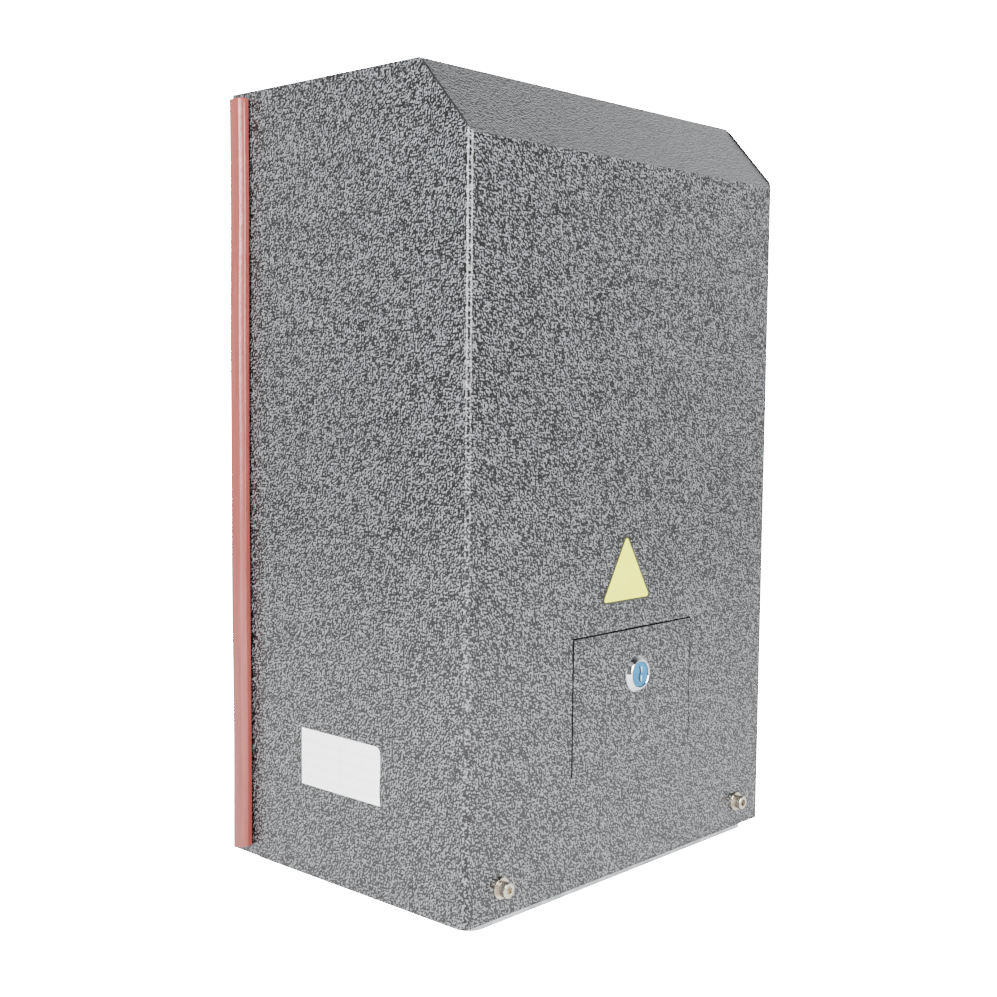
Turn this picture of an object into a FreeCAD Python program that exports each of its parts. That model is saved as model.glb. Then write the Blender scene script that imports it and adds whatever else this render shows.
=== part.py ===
"""Sliding gate motor: a sheet-metal cover over a worm gearbox, its upright motor,
the control board and a keyed release door, all standing on one anchor plate.

Frame: millimetres, +Z up, origin at the centre of the anchor plate's underside.
The front, with the release door, faces -Y; the rack side, with the pinion, faces +Y.
"""
import FreeCAD, Part
import math
import os
import Sketcher

V = FreeCAD.Vector

# Every driving dimension: alias, millimetres (or a count), what it measures.
SIZES = [
    ("cover_width", 334, "cover, outside width"),
    ("cover_depth", 234, "cover, outside depth"),
    ("cover_height", 540, "cover, height of the rear wall"),
    ("front_height", 491, "cover, height of the front wall"),
    ("slope_depth", 44, "cover, depth of the sloping strip over the front wall"),
    ("sheet_wall", 1.5, "cover, sheet thickness"),
    ("bend_radius", 4, "cover, outside radius of the upright bends"),
    ("plate_width", 314, "anchor plate, width"),
    ("plate_depth", 222, "anchor plate, depth"),
    ("plate_thick", 6, "anchor plate, thickness"),
    ("plate_corner", 12, "anchor plate, corner radius"),
    ("anchor_across", 130, "anchor slots, distance from the middle in X"),
    ("anchor_along", 78, "anchor slots, distance from the middle in Y"),
    ("anchor_radius", 7, "anchor slots, half width"),
    ("anchor_run", 20, "anchor slots, distance between the end centres"),
    ("cable_x", 118, "cable hole, X"),
    ("cable_y", -36, "cable hole, Y"),
    ("cable_radius", 22, "cable hole, radius"),
    ("door_left", -63.8, "release door, left edge"),
    ("door_right", 69, "release door, right edge"),
    ("door_bottom", 83, "release door, lower edge"),
    ("door_top", 176.5, "release door, upper edge"),
    ("lock_x", 6, "cam lock, X"),
    ("lock_height", 144, "cam lock, height of the axis"),
    ("fixing_across", 134, "cover fixings, distance from the middle in X"),
    ("fixing_height", 25.5, "cover fixings, height"),
    ("strip_front", 94, "trim strip, front edge"),
    ("strip_back", 109.7, "trim strip, rear edge"),
    ("strip_depth", 8.8, "trim strip, how far it stands out"),
    ("strip_low", 9.2, "trim strip, lower end"),
    ("strip_high", 541.3, "trim strip, upper end"),
    ("shaft_height", 130, "output shaft, height of the axis"),
    ("worm_x", -78, "worm and motor axis, X"),
    ("worm_y", 14, "worm and motor axis, Y"),
    ("worm_module", 3, "worm gearing, axial module"),
    ("worm_diameter", 36, "worm, pitch diameter"),
    ("wheel_teeth", 40, "worm wheel, number of teeth"),
    ("wheel_width", 28, "worm wheel, face width"),
    ("pinion_module", 6, "pinion, module"),
    ("pinion_teeth", 15, "pinion, number of teeth"),
    ("pinion_front", 124, "pinion, face nearest the cover"),
    ("pinion_width", 32, "pinion, face width"),
    ("nose_radius", 15, "output shaft, radius under the pinion"),
    ("shaft_radius", 19, "output shaft, radius under the wheel and the clutch"),
    ("drum_radius", 73, "gearbox, outside radius of the wheel chamber"),
    ("chamber_radius", 66, "gearbox, inside radius of the wheel chamber"),
    ("gearbox_front", -24, "gearbox, joint face of the front cover"),
    ("gearbox_rear", 102, "gearbox, rear face of the shaft boss"),
    ("gearbox_top", 205, "gearbox, seat of the motor flange"),
    ("release_travel", 7, "clutch, travel of the sleeve"),
    ("release_lead", 28, "face cam, rise in one full turn"),
    ("stator_base", 222, "motor, foot of the finned housing"),
    ("stator_height", 150, "motor, height of the finned housing"),
    ("stator_bore", 55, "motor, bore of the finned housing"),
    ("stator_wall", 61, "motor, radius at the root of the fins"),
    ("fin_radius", 68, "motor, radius over the fins"),
    ("rotor_radius", 34, "motor, rotor radius"),
    ("air_gap", 0.4, "motor, gap between rotor and stator"),
    ("board_plane", 20, "board bracket, rear face of the sheet"),
    ("running_fit", 0.05, "radial clearance where one piece turns or slides on another"),
]


class Dim:
    """A size that carries its number and the sheet expression that gives it."""

    def __init__(self, value, text):
        self.value = value
        self.text = text

    def _join(self, other, sign, swap=False):
        first, second = (dim(other), self) if swap else (self, dim(other))
        value = {
            "+": lambda a, b: a + b,
            "-": lambda a, b: a - b,
            "*": lambda a, b: a * b,
            "/": lambda a, b: a / b,
        }[sign](first.value, second.value)
        return Dim(value, f"({first.text} {sign} {second.text})")

    def __add__(self, other):
        return self._join(other, "+")

    def __radd__(self, other):
        return self._join(other, "+", swap=True)

    def __sub__(self, other):
        return self._join(other, "-")

    def __rsub__(self, other):
        return self._join(other, "-", swap=True)

    def __mul__(self, other):
        return self._join(other, "*")

    def __rmul__(self, other):
        return self._join(other, "*", swap=True)

    def __truediv__(self, other):
        return self._join(other, "/")

    def __neg__(self):
        return Dim(-self.value, f"(0 - {self.text})")

    def __float__(self):
        return float(self.value)


def dim(a):
    """A plain number as a size."""
    return a if isinstance(a, Dim) else Dim(float(a), f"({float(a):.6f})")


class Sizes:
    """The sheet's aliases as attributes, each a Dim."""


doc = FreeCAD.newDocument("SlidingGateMotor")
sheet = doc.addObject("Spreadsheet::Sheet", "Sizes")
S = Sizes()
for row, (alias, number, note) in enumerate(SIZES, 1):
    sheet.set(f"A{row}", note)
    sheet.set(f"B{row}", str(number))
    sheet.setAlias(f"B{row}", alias)
    setattr(S, alias, Dim(float(number), f"Sizes.{alias}"))
doc.recompute()

parts = []

# Heights and depths that several pieces share.
FRONT = -S.cover_depth / 2
REAR = S.cover_depth / 2
FRONT_INSIDE = FRONT + S.sheet_wall
REAR_INSIDE = REAR - S.sheet_wall
SKIRT = S.plate_thick
WHEEL_FRONT = S.worm_y - S.wheel_width / 2
WHEEL_REAR = S.worm_y + S.wheel_width / 2


# ---------------------------------------------------------------- drawing helpers

def body(label, at=(0, 0, 0)):
    """A new PartDesign body, one piece of the machine, set at a bound placement."""
    part = doc.addObject("PartDesign::Body", label)
    part.Label = label
    for axis, a in zip("xyz", at):
        part.setExpression(f"Placement.Base.{axis}", dim(a).text)
    parts.append(part)
    return part


def origin(part, role):
    """One of the body's own origin planes or axes."""
    return [item for item in part.Origin.OriginFeatures if item.Role == role][0]


def sketch(part, plane, level=0):
    """A sketch on an origin plane moved to a level along X, Y or Z."""
    drawing = part.newObject("Sketcher::SketchObject", "Sketch")
    drawing.AttachmentSupport = [(origin(part, plane + "_Plane"), "")]
    drawing.MapMode = "FlatFace"
    lift = -dim(level) if plane == "XZ" else dim(level)
    drawing.setExpression("AttachmentOffset.Base.z", lift.text)
    return drawing


def pin_point(drawing, geometry, end, x, y):
    """Hold one point of the sketch at bound distances from its origin."""
    for kind, a in (("DistanceX", dim(x)), ("DistanceY", dim(y))):
        index = drawing.addConstraint(Sketcher.Constraint(kind, -1, 1, geometry, end, a.value))
        drawing.setExpression(f"Constraints[{index}]", a.text)


def outline(drawing, points):
    """A closed outline of straight lines through bound points."""
    count = len(points)
    first = drawing.GeometryCount
    ends = [V(float(dim(x)), float(dim(y)), 0) for x, y in points]
    lines = [Part.LineSegment(ends[i], ends[(i + 1) % count]) for i in range(count)]
    drawing.addGeometry(lines, False)
    for i in range(count):
        drawing.addConstraint(Sketcher.Constraint("Coincident", first + i, 2, first + (i + 1) % count, 1))
    for i, (x, y) in enumerate(points):
        pin_point(drawing, first + i, 1, x, y)


def box_outline(drawing, x0, x1, y0, y1):
    outline(drawing, [(x0, y0), (x1, y0), (x1, y1), (x0, y1)])


def disc(drawing, radius, x=0, y=0):
    """A circle with bound centre and radius."""
    centre = V(float(dim(x)), float(dim(y)), 0)
    index = drawing.addGeometry(Part.Circle(centre, V(0, 0, 1), float(dim(radius))), False)
    pin_point(drawing, index, 3, x, y)
    size = drawing.addConstraint(Sketcher.Constraint("Radius", index, float(dim(radius))))
    drawing.setExpression(f"Constraints[{size}]", dim(radius).text)


def polygon(drawing, across_flats, count=6, x=0, y=0, turn=30):
    """A regular polygon by its size across flats."""
    radius = dim(across_flats) / (2 * math.cos(math.pi / count))
    corners = []
    for i in range(count):
        angle = math.radians(turn + 360 * i / count)
        corners.append((x + radius * math.cos(angle), y + radius * math.sin(angle)))
    outline(drawing, corners)


def slot(drawing, x, y, run, radius):
    """A slot along the sketch's X axis."""
    cx, cy, half, r = float(dim(x)), float(dim(y)), float(dim(run)) / 2, float(dim(radius))
    up, down = math.pi / 2, 3 * math.pi / 2
    right = Part.ArcOfCircle(Part.Circle(V(cx + half, cy, 0), V(0, 0, 1), r), -up, up)
    left = Part.ArcOfCircle(Part.Circle(V(cx - half, cy, 0), V(0, 0, 1), r), up, down)
    first = drawing.GeometryCount
    drawing.addGeometry([
        right,
        Part.LineSegment(V(cx + half, cy + r, 0), V(cx - half, cy + r, 0)),
        left,
        Part.LineSegment(V(cx - half, cy - r, 0), V(cx + half, cy - r, 0)),
    ], False)
    for i in range(4):
        nxt = first + (i + 1) % 4
        drawing.addConstraint(Sketcher.Constraint("Tangent", first + i, 2, nxt, 1))
    pin_point(drawing, first, 3, x + dim(run) / 2, y)
    pin_point(drawing, first + 2, 3, x - dim(run) / 2, y)
    for arc in (first, first + 2):
        index = drawing.addConstraint(Sketcher.Constraint("Radius", arc, r))
        drawing.setExpression(f"Constraints[{index}]", dim(radius).text)


def flatted_disc(drawing, radius, flat):
    """A circle with two parallel flats at a distance either side of its centre."""
    rise = math.sqrt(radius ** 2 - flat ** 2)
    corners = [V(flat, rise, 0), V(-flat, rise, 0), V(-flat, -rise, 0), V(flat, -rise, 0)]
    drawing.addGeometry([
        Part.Arc(corners[0], V(0, radius, 0), corners[1]),
        Part.LineSegment(corners[1], corners[2]),
        Part.Arc(corners[2], V(0, -radius, 0), corners[3]),
        Part.LineSegment(corners[3], corners[0]),
    ], False)


# ---------------------------------------------------------------- feature helpers

def pad(part, drawing, length, back=False, both=False):
    feature = part.newObject("PartDesign::Pad", "Pad")
    feature.Profile = drawing
    feature.setExpression("Length", dim(length).text)
    feature.Reversed = back
    feature.Midplane = both
    doc.recompute()
    return feature


def must_remove(part, feature, before):
    """A cut that points away from the solid removes nothing and is an error."""
    doc.recompute()
    if before - feature.Shape.Volume < 1e-3:
        raise RuntimeError(f"{part.Label}: {feature.Name} removes nothing")
    return feature


def cut(part, drawing, length=None, back=False, both=False):
    """A pocket of a length, or right through the body."""
    before = part.Shape.Volume
    feature = part.newObject("PartDesign::Pocket", "Pocket")
    feature.Profile = drawing
    feature.Reversed = back
    feature.Midplane = both
    if length is None:
        feature.Type = 1
    else:
        feature.setExpression("Length", dim(length).text)
    return must_remove(part, feature, before)


def revolve(part, drawing, axis):
    feature = part.newObject("PartDesign::Revolution", "Revolution")
    feature.Profile = drawing
    feature.ReferenceAxis = (drawing, [axis])
    feature.Angle = 360
    doc.recompute()
    return feature


def around(part, features, count, axis="Y_Axis"):
    """Repeat features round one of the body's own axes."""
    pattern = part.newObject("PartDesign::PolarPattern", "PolarPattern")
    pattern.Originals = features
    pattern.Axis = (origin(part, axis), [""])
    pattern.Angle = 360
    pattern.setExpression("Occurrences", dim(count).text)
    part.Tip = pattern
    doc.recompute()
    return pattern


def along(part, features, axis, length, count):
    """Repeat features in a row along one of the body's own axes."""
    pattern = part.newObject("PartDesign::LinearPattern", "LinearPattern")
    pattern.Originals = features
    pattern.Direction = (origin(part, axis), [""])
    pattern.setExpression("Length", dim(length).text)
    pattern.Occurrences = count
    part.Tip = pattern
    doc.recompute()
    return pattern


def soften(part, radius, wanted, kind="Fillet"):
    """Fillet or chamfer the edges of the tip for which wanted(edge) holds."""
    base = part.Tip
    names = [f"Edge{i}" for i, edge in enumerate(base.Shape.Edges, 1) if wanted(edge)]
    feature = part.newObject("PartDesign::" + kind, kind)
    feature.Base = (base, names)
    feature.setExpression("Radius" if kind == "Fillet" else "Size", dim(radius).text)
    doc.recompute()
    return feature


def runs_along(edge, axis):
    """Whether an edge is straight and lies along axis 0, 1 or 2."""
    if not isinstance(edge.Curve, Part.Line):
        return False
    return abs(abs(edge.tangentAt(edge.FirstParameter)[axis]) - 1) < 1e-6


def is_round(edge, radius, axis=None, level=None):
    """Whether an edge is a circle of a radius, at a level along axis 0, 1 or 2."""
    if not isinstance(edge.Curve, Part.Circle) or abs(edge.Curve.Radius - float(radius)) > 1e-3:
        return False
    return axis is None or abs(edge.Curve.Center[axis] - float(level)) < 1e-3


def turned(label, points, axis="Y", at=None):
    """A piece turned about the shaft line (Y) or an upright axis (Z).

    Its profile is a list of (station along the axis, radius).
    """
    if axis == "Y":
        part = body(label, at or (0, 0, S.shaft_height))
        drawing = sketch(part, "YZ")
        outline(drawing, points)
        revolve(part, drawing, "H_Axis")
    else:
        part = body(label, at or (S.worm_x, S.worm_y, 0))
        drawing = sketch(part, "XZ")
        outline(drawing, [(radius, station) for station, radius in points])
        revolve(part, drawing, "V_Axis")
    return part


def group(label, members):
    """Several like solids that share one node, as a compound of separate solids."""
    node = doc.addObject("Part::Compound", label)
    node.Label = label
    node.Links = members
    for member in members:
        parts.remove(member)
    parts.append(node)
    doc.recompute()
    return node


# ---------------------------------------------------------------- anchor plate and cover

def base_plate():
    part = body("base_plate")
    plan = sketch(part, "XY")
    half, front, back = S.plate_width / 2, -S.plate_depth / 2 - 0.5, S.plate_depth / 2 - 0.5
    box_outline(plan, -half, half, front, back)
    pad(part, plan, S.plate_thick)
    soften(part, S.plate_corner, lambda edge: runs_along(edge, 2))
    slots = sketch(part, "XY", S.plate_thick)
    for side_x in (-1, 1):
        for side_y in (-1, 1):
            slot(slots, S.anchor_across * side_x, S.anchor_along * side_y, S.anchor_run, S.anchor_radius)
    cut(part, slots)
    cable = sketch(part, "XY", S.plate_thick)
    disc(cable, S.cable_radius, S.cable_x, S.cable_y)
    cut(part, cable)


def cable_grommet():
    """A rubber ring that lines the cable hole and lies on top of the plate."""
    lip = S.cable_radius - 4
    return turned("cable_grommet", [
        (0.5, lip), (0.5, S.cable_radius), (S.plate_thick, S.cable_radius),
        (S.plate_thick, S.cable_radius + 5), (S.plate_thick + 3, S.cable_radius + 4),
        (S.plate_thick + 3, lip),
    ], "Z", (S.cable_x, S.cable_y, 0))


def cover_brackets():
    """Four angles welded to the plate: two take the front screws, two hook the rear wall."""
    reach, leg, height, half = 18, 3, 40, 15
    members = []
    for name, side in (("left", -1), ("right", 1)):
        front = body("front_angle_" + name, (S.fixing_across * side, 0, 0))
        face = FRONT_INSIDE + 0.3
        profile = sketch(front, "YZ")
        outline(profile, [
            (face, S.plate_thick), (face + reach, S.plate_thick), (face + reach, S.plate_thick + leg),
            (face + leg, S.plate_thick + leg), (face + leg, height), (face, height),
        ])
        pad(front, profile, 2 * half, both=True)
        hole = sketch(front, "XZ", face)
        disc(hole, 3.3, 0, S.fixing_height)
        cut(front, hole, leg)
        members.append(front)
        rear = body("rear_angle_" + name, (S.fixing_across * side, 0, 0))
        back = REAR_INSIDE - 0.3
        profile = sketch(rear, "YZ")
        outline(profile, [
            (back, S.plate_thick), (back, 24), (REAR + 4, 24), (REAR + 4, 31), (REAR + 1, 31),
            (REAR + 1, 27), (back, 27), (back, height), (back - leg, height),
            (back - leg, S.plate_thick + leg), (back - reach, S.plate_thick + leg),
            (back - reach, S.plate_thick),
        ])
        pad(rear, profile, 18, both=True)
        members.append(rear)
    group("cover_brackets", members)


def cover():
    """The hood: one folded sheet with a sloping strip under its top edge."""
    part = body("cover", (0, 0, SKIRT))
    profile = sketch(part, "YZ")
    outline(profile, [
        (FRONT, 0), (REAR, 0), (REAR, S.cover_height),
        (FRONT + S.slope_depth, S.cover_height), (FRONT, S.front_height),
    ])
    pad(part, profile, S.cover_width, both=True)
    soften(part, S.bend_radius, lambda edge: runs_along(edge, 2))
    shell = part.newObject("PartDesign::Thickness", "Shell")
    faces = shell.BaseFeature.Shape.Faces
    shell.Base = (shell.BaseFeature, [f"Face{i}" for i, f in enumerate(faces, 1) if f.CenterOfMass.z < 0.01])
    shell.setExpression("Value", S.sheet_wall.text)
    shell.Reversed = True
    shell.Join = 0
    doc.recompute()
    door = sketch(part, "XZ", FRONT)
    low, high = S.door_bottom - 0.3 - SKIRT, S.door_top + 1 - SKIRT
    box_outline(door, S.door_left - 1.2, S.door_right + 0.6, low, high)
    cut(part, door, S.sheet_wall)
    holes = sketch(part, "XZ", FRONT)
    for side in (-1, 1):
        disc(holes, 3.5, S.fixing_across * side, S.fixing_height - SKIRT)
    cut(part, holes, S.sheet_wall)
    rear = sketch(part, "XZ", REAR)
    half, top = 28, 236
    box_outline(rear, -half, half, -1, top - SKIRT)
    for side in (-1, 1):
        middle = S.fixing_across * side
        box_outline(rear, middle - 11, middle + 11, 23 - SKIRT, 32 - SKIRT)
    cut(part, rear, S.sheet_wall, back=True)


def trim_strip(name, side):
    """A bowed plastic strip pressed on the rear edge of a side wall."""
    part = body("trim_strip_" + name)
    wall = S.cover_width / 2
    root, nose = 1.5, 3
    plan = sketch(part, "XY", S.strip_low)
    outline(plan, [
        (side * wall, S.strip_front + root),
        (side * (wall + root), S.strip_front + root),
        (side * (wall + root), S.strip_front),
        (side * (wall + S.strip_depth - nose), S.strip_front),
        (side * (wall + S.strip_depth), S.strip_front + nose),
        (side * (wall + S.strip_depth), S.strip_back - nose),
        (side * (wall + S.strip_depth - nose), S.strip_back),
        (side * wall, S.strip_back),
    ])
    pad(part, plan, S.strip_high - S.strip_low)


def hex_nut(label, at, flats, length, bore):
    part = body(label, at)
    drawing = sketch(part, "XZ")
    polygon(drawing, flats)
    disc(drawing, bore)
    pad(part, drawing, length, back=True)
    return part


def cover_fixings():
    """Two socket screws, their washers and the weld nuts behind the front angles."""
    screws, washers, nuts = [], [], []
    washer, head = 1.6, 6
    nut_face = FRONT_INSIDE + 0.3 + 3
    for name, side in (("left", -1), ("right", 1)):
        at = (S.fixing_across * side, 0, S.fixing_height)
        screw = turned("screw_" + name, [
            (FRONT - washer - head, 0), (FRONT - washer - head, 4.6), (FRONT - washer - head + 0.4, 5),
            (FRONT - washer, 5), (FRONT - washer, 3), (nut_face + 6, 3), (nut_face + 7, 2), (nut_face + 7, 0),
        ], "Y", at)
        socket = sketch(screw, "XZ", FRONT - washer - head)
        polygon(socket, 5)
        cut(screw, socket, 3.5)
        screws.append(screw)
        washers.append(turned("washer_" + name, [
            (FRONT - washer, 3.2), (FRONT - washer, 6.8), (FRONT - washer + 0.2, 7), (FRONT, 7), (FRONT, 3.2),
        ], "Y", at))
        nuts.append(hex_nut("nut_" + name, (at[0], nut_face, at[2]), 10, 5, 3))
    group("cover_screws", screws)
    group("cover_washers", washers)
    group("cover_weld_nuts", nuts)


# ---------------------------------------------------------------- release door and lock

def release_door():
    """The flap, with two hook tabs that sit behind the sheet under its lower edge."""
    part = body("release_door")
    face = sketch(part, "XZ", FRONT)
    box_outline(face, S.door_left, S.door_right, S.door_bottom, S.door_top)
    pad(part, face, S.sheet_wall, back=True)
    reach, gap, thick, half = 8, 0.5, 1.5, 12
    for middle in (S.door_left + 26, S.door_right - 26):
        hook = sketch(part, "YZ", middle)
        outline(hook, [
            (FRONT_INSIDE, S.door_bottom + reach), (FRONT_INSIDE + gap + thick, S.door_bottom + reach),
            (FRONT_INSIDE + gap + thick, S.door_bottom - reach), (FRONT_INSIDE + gap, S.door_bottom - reach),
            (FRONT_INSIDE + gap, S.door_bottom), (FRONT_INSIDE, S.door_bottom),
        ])
        pad(part, hook, 2 * half, both=True)
    hole = sketch(part, "XZ", FRONT)
    disc(hole, 9.7, S.lock_x, S.lock_height)
    cut(part, hole, S.sheet_wall)


BEZEL_PROUD = 3.4
BARREL_END = FRONT + 7


def lock():
    """A cam lock: chromed barrel, its nut, the keyed plug and the cranked cam."""
    at = (S.lock_x, 0, S.lock_height)
    face = FRONT - BEZEL_PROUD
    turned("lock_barrel", [
        (face, 9.1), (face, 10.2), (face + 0.8, 11), (FRONT - 0.6, 13), (FRONT, 13), (FRONT, 9.65),
        (BARREL_END, 9.65), (BARREL_END, 7.1), (face + 2, 7.1), (face + 2, 9.1),
    ], "Y", at)
    hex_nut("lock_nut", (S.lock_x, FRONT_INSIDE, S.lock_height), 27, 4, 9.65)
    plug = turned("lock_plug", [
        (face + 0.5, 0), (face + 0.5, 8.6), (face + 0.8, 9), (face + 1.9, 9), (face + 1.9, 7.05),
        (BARREL_END + 0.2, 7.05), (BARREL_END + 0.2, 4), (BARREL_END + 2.7, 4),
        (BARREL_END + 2.7, 6), (BARREL_END + 4.8, 5.4), (BARREL_END + 4.8, 0),
    ], "Y", at)
    key = sketch(plug, "XZ", face + 0.5)
    slit, tall, wave = 0.9, 6.2, 0.7
    right, left = [], []
    for step in range(7):
        height = -tall + 2 * tall * step / 6
        shift = wave * (-1) ** step
        right.append((slit + shift, height))
        left.append((-slit + shift, height))
    outline(key, right + left[::-1])
    cut(plug, key, 5)
    cam = body("lock_cam", at)
    near, far = BARREL_END + 0.2, FRONT_INSIDE + 0.9
    bend_in, bend_out, tip, thick = 17.5, 21, 38, 2.5
    profile = sketch(cam, "XY")
    outline(profile, [
        (-8, near), (bend_in, near), (bend_out, far), (tip, far), (tip, far + thick),
        (bend_out + 0.8, far + thick), (bend_in + 0.8, near + thick), (-8, near + thick),
    ])
    pad(cam, profile, 14, both=True)
    soften(cam, 5, lambda edge: runs_along(edge, 1))
    hole = sketch(cam, "XZ", near)
    disc(hole, 4)
    cut(cam, hole, thick)


# ---------------------------------------------------------------- gearbox castings

FLANGE_RADIUS = S.drum_radius + 5.5
PLUG_AT = 6
FOOT_BOLTS = [(x, y) for x in (-109, 71) for y in (-31, 53)]

def gearbox_housing():
    """The cast housing: wheel chamber, shaft boss, worm tube, pedestal and feet."""
    part = body("gearbox_housing", (0, 0, S.shaft_height))
    floor = S.plate_thick - S.shaft_height
    foot, wall = 12, 8
    tube_top = S.gearbox_top - S.shaft_height
    chamber = sketch(part, "XZ", S.gearbox_front)
    disc(chamber, S.drum_radius)
    pad(part, chamber, 67, back=True)
    flange = sketch(part, "XZ", S.gearbox_front)
    disc(flange, FLANGE_RADIUS)
    pad(part, flange, 10, back=True)
    boss = sketch(part, "XZ", 40)
    disc(boss, 47)
    pad(part, boss, S.gearbox_rear - 40, back=True)
    tube = sketch(part, "XY", floor + 54)
    disc(tube, 32, S.worm_x, S.worm_y)
    pad(part, tube, tube_top - floor - 54)
    seat = sketch(part, "XY", tube_top - 12)
    disc(seat, 54, S.worm_x, S.worm_y)
    pad(part, seat, 12)
    relief = sketch(part, "XY", tube_top)
    box_outline(relief, -140, 0, -60, S.gearbox_front)
    cut(part, relief, 20)
    plug_boss = sketch(part, "YZ", 60)
    disc(plug_boss, 11, PLUG_AT)
    pad(part, plug_boss, S.drum_radius + 1 - 60)
    feet = sketch(part, "XY", floor)
    box_outline(feet, -120, 82, -42, 64)
    pad(part, feet, foot)
    pedestal = sketch(part, "XY", floor + foot)
    box_outline(pedestal, -104, 56, -20, 46)
    pad(part, pedestal, 58)
    saddle = sketch(part, "XY", 38)
    box_outline(saddle, -20, 20, 66, 98)
    pad(part, saddle, 14)
    soften(part, 10, lambda edge: runs_along(edge, 2) and edge.BoundBox.ZMax < float(floor) + foot + 1)
    for radius, start, depth in (
        (S.chamber_radius, S.gearbox_front, 60),
        (dim(40), dim(36), 38),
        (dim(36), dim(74), 17),
        (dim(26), dim(91), 11),
    ):
        bore = sketch(part, "XZ", start)
        disc(bore, radius)
        cut(part, bore, depth)
    plug_hole = sketch(part, "YZ", S.drum_radius + 1)
    disc(plug_hole, 6, PLUG_AT)
    cut(part, plug_hole, 5)
    worm_bore = sketch(part, "XY", tube_top)
    disc(worm_bore, 24, S.worm_x, S.worm_y)
    cut(part, worm_bore, S.gearbox_top - 84)
    bearing_seat = sketch(part, "XY", tube_top)
    disc(bearing_seat, 23.5, S.worm_x, S.worm_y)
    cut(part, bearing_seat, S.gearbox_top - 70)
    screw_hole = sketch(part, "XZ", S.gearbox_front)
    disc(screw_hole, 3, (S.drum_radius + 0.5) * math.cos(math.radians(60)),
         (S.drum_radius + 0.5) * math.sin(math.radians(60)))
    around(part, [cut(part, screw_hole, 10)], 6)
    foot_holes = sketch(part, "XY", floor + foot)
    for x, y in FOOT_BOLTS:
        disc(foot_holes, 5, x, y)
    cut(part, foot_holes, foot)


def gearbox_cover():
    """The ribbed front cover, with the front bearing's seat and the release boss."""
    part = turned("gearbox_cover", [
        (-86, 9.1), (-86, 27), (-84, 29), (-50, 29), (-48, 38), (-32, 38),
        (-32, FLANGE_RADIUS - 1), (-31, FLANGE_RADIUS), (S.gearbox_front, FLANGE_RADIUS),
        (S.gearbox_front, S.chamber_radius - 0.3), (-20, S.chamber_radius - 0.3), (-20, 48),
        (-26, 31), (-42, 31), (-42, 21.5), (-84, 21.5), (-84, 9.1),
    ])
    rib = sketch(part, "YZ")
    outline(rib, [
        (-54, 28.5), (-33, S.drum_radius - 8), (-31.5, S.drum_radius - 8), (-31.5, 37), (-44, 32),
        (-50, 28.5),
    ])
    around(part, [pad(part, rib, 5, both=True)], 6)
    hole = sketch(part, "XZ", -32)
    angle = math.radians(60)
    disc(hole, 3.3, (S.drum_radius + 0.5) * math.cos(angle), (S.drum_radius + 0.5) * math.sin(angle))
    around(part, [cut(part, hole, 8)], 6)
    keyways = sketch(part, "XZ", -80)
    box_outline(keyways, -24.6, 24.6, -4.3, 4.3)
    cut(part, keyways, 32)


def cap_screw(label, at, length, radius=3, head=5, tall=6, upright=False):
    """A hexagon-socket screw: head above its seat, shank below it."""
    axis = "Z" if upright else "Y"
    sign = 1 if upright else -1
    screw = turned(label, [
        (sign * tall, 0), (sign * tall, head - 0.5), (sign * (tall - 0.5), head), (0, head),
        (0, radius), (-sign * length, radius), (-sign * length, 0),
    ], axis, at)
    socket = sketch(screw, "XY" if upright else "XZ", sign * tall)
    polygon(socket, head)
    cut(screw, socket, tall * 0.5)
    return screw


def gearbox_screws():
    members = []
    for i in range(6):
        angle = math.radians(60 * i)
        ring = S.drum_radius + 0.5
        at = (ring * math.cos(angle), -32, S.shaft_height + ring * math.sin(angle))
        members.append(cap_screw(f"ring_screw_{i + 1}", at, 17))
    group("gearbox_cover_screws", members)
    feet = []
    for x, y in FOOT_BOLTS:
        at = (x, y, S.plate_thick + 12)
        feet.append(cap_screw(f"foot_bolt_{len(feet) + 1}", at, 12, 5, 8, 8, True))
    group("gearbox_foot_bolts", feet)


def bearing(label, start, width, bore, outside, axis="Y", at=None):
    """A sealed ball bearing: two rings with a recessed shield on both faces."""
    third = (outside - bore) / 3
    end = start + width
    return turned(label, [
        (start, bore), (start, bore + third), (start + 0.7, bore + third), (start + 0.7, outside - third),
        (start, outside - third), (start, outside), (end, outside), (end, outside - third),
        (end - 0.7, outside - third), (end - 0.7, bore + third), (end, bore + third), (end, bore),
    ], axis, at)


def bearings_and_seal():
    bearing("front_bearing", -42, 16, 15 + S.running_fit, dim(31))
    bearing("rear_bearing", 74, 17, 17.5 + S.running_fit, dim(36))
    turned("output_seal", [
        (93, 17.1), (93, 19), (96, 18.4), (99, 19), (99, 25), (94.5, 25), (94.5, 26), (101, 26), (101, 17.1),
    ])
    lower = bearing("worm_bearing_low", 70, 14, 10 + S.running_fit, dim(23.5), "Z")
    upper = bearing("worm_bearing_high", 206, 15, 12.5 + S.running_fit, dim(26), "Z")
    top = bearing("rotor_bearing", 374, 14, 10 + S.running_fit, dim(23.5), "Z")
    group("upright_bearings", [lower, upper, top])


def oil_plug():
    part = body("oil_plug", (S.drum_radius - 4, PLUG_AT, S.shaft_height))
    shank = sketch(part, "YZ")
    disc(shank, 6)
    pad(part, shank, 5)
    head = sketch(part, "YZ", 5)
    polygon(head, 15)
    pad(part, head, 6)
    soften(part, 1, lambda edge: abs(edge.CenterOfMass.x - 11) < 0.01, "Chamfer")


# ---------------------------------------------------------------- gear teeth

def involute(base_radius, radius):
    """Angle in radians that an involute has turned where it reaches a radius."""
    if radius <= base_radius:
        return 0.0
    pressure = math.acos(base_radius / radius)
    return math.tan(pressure) - pressure


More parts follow.
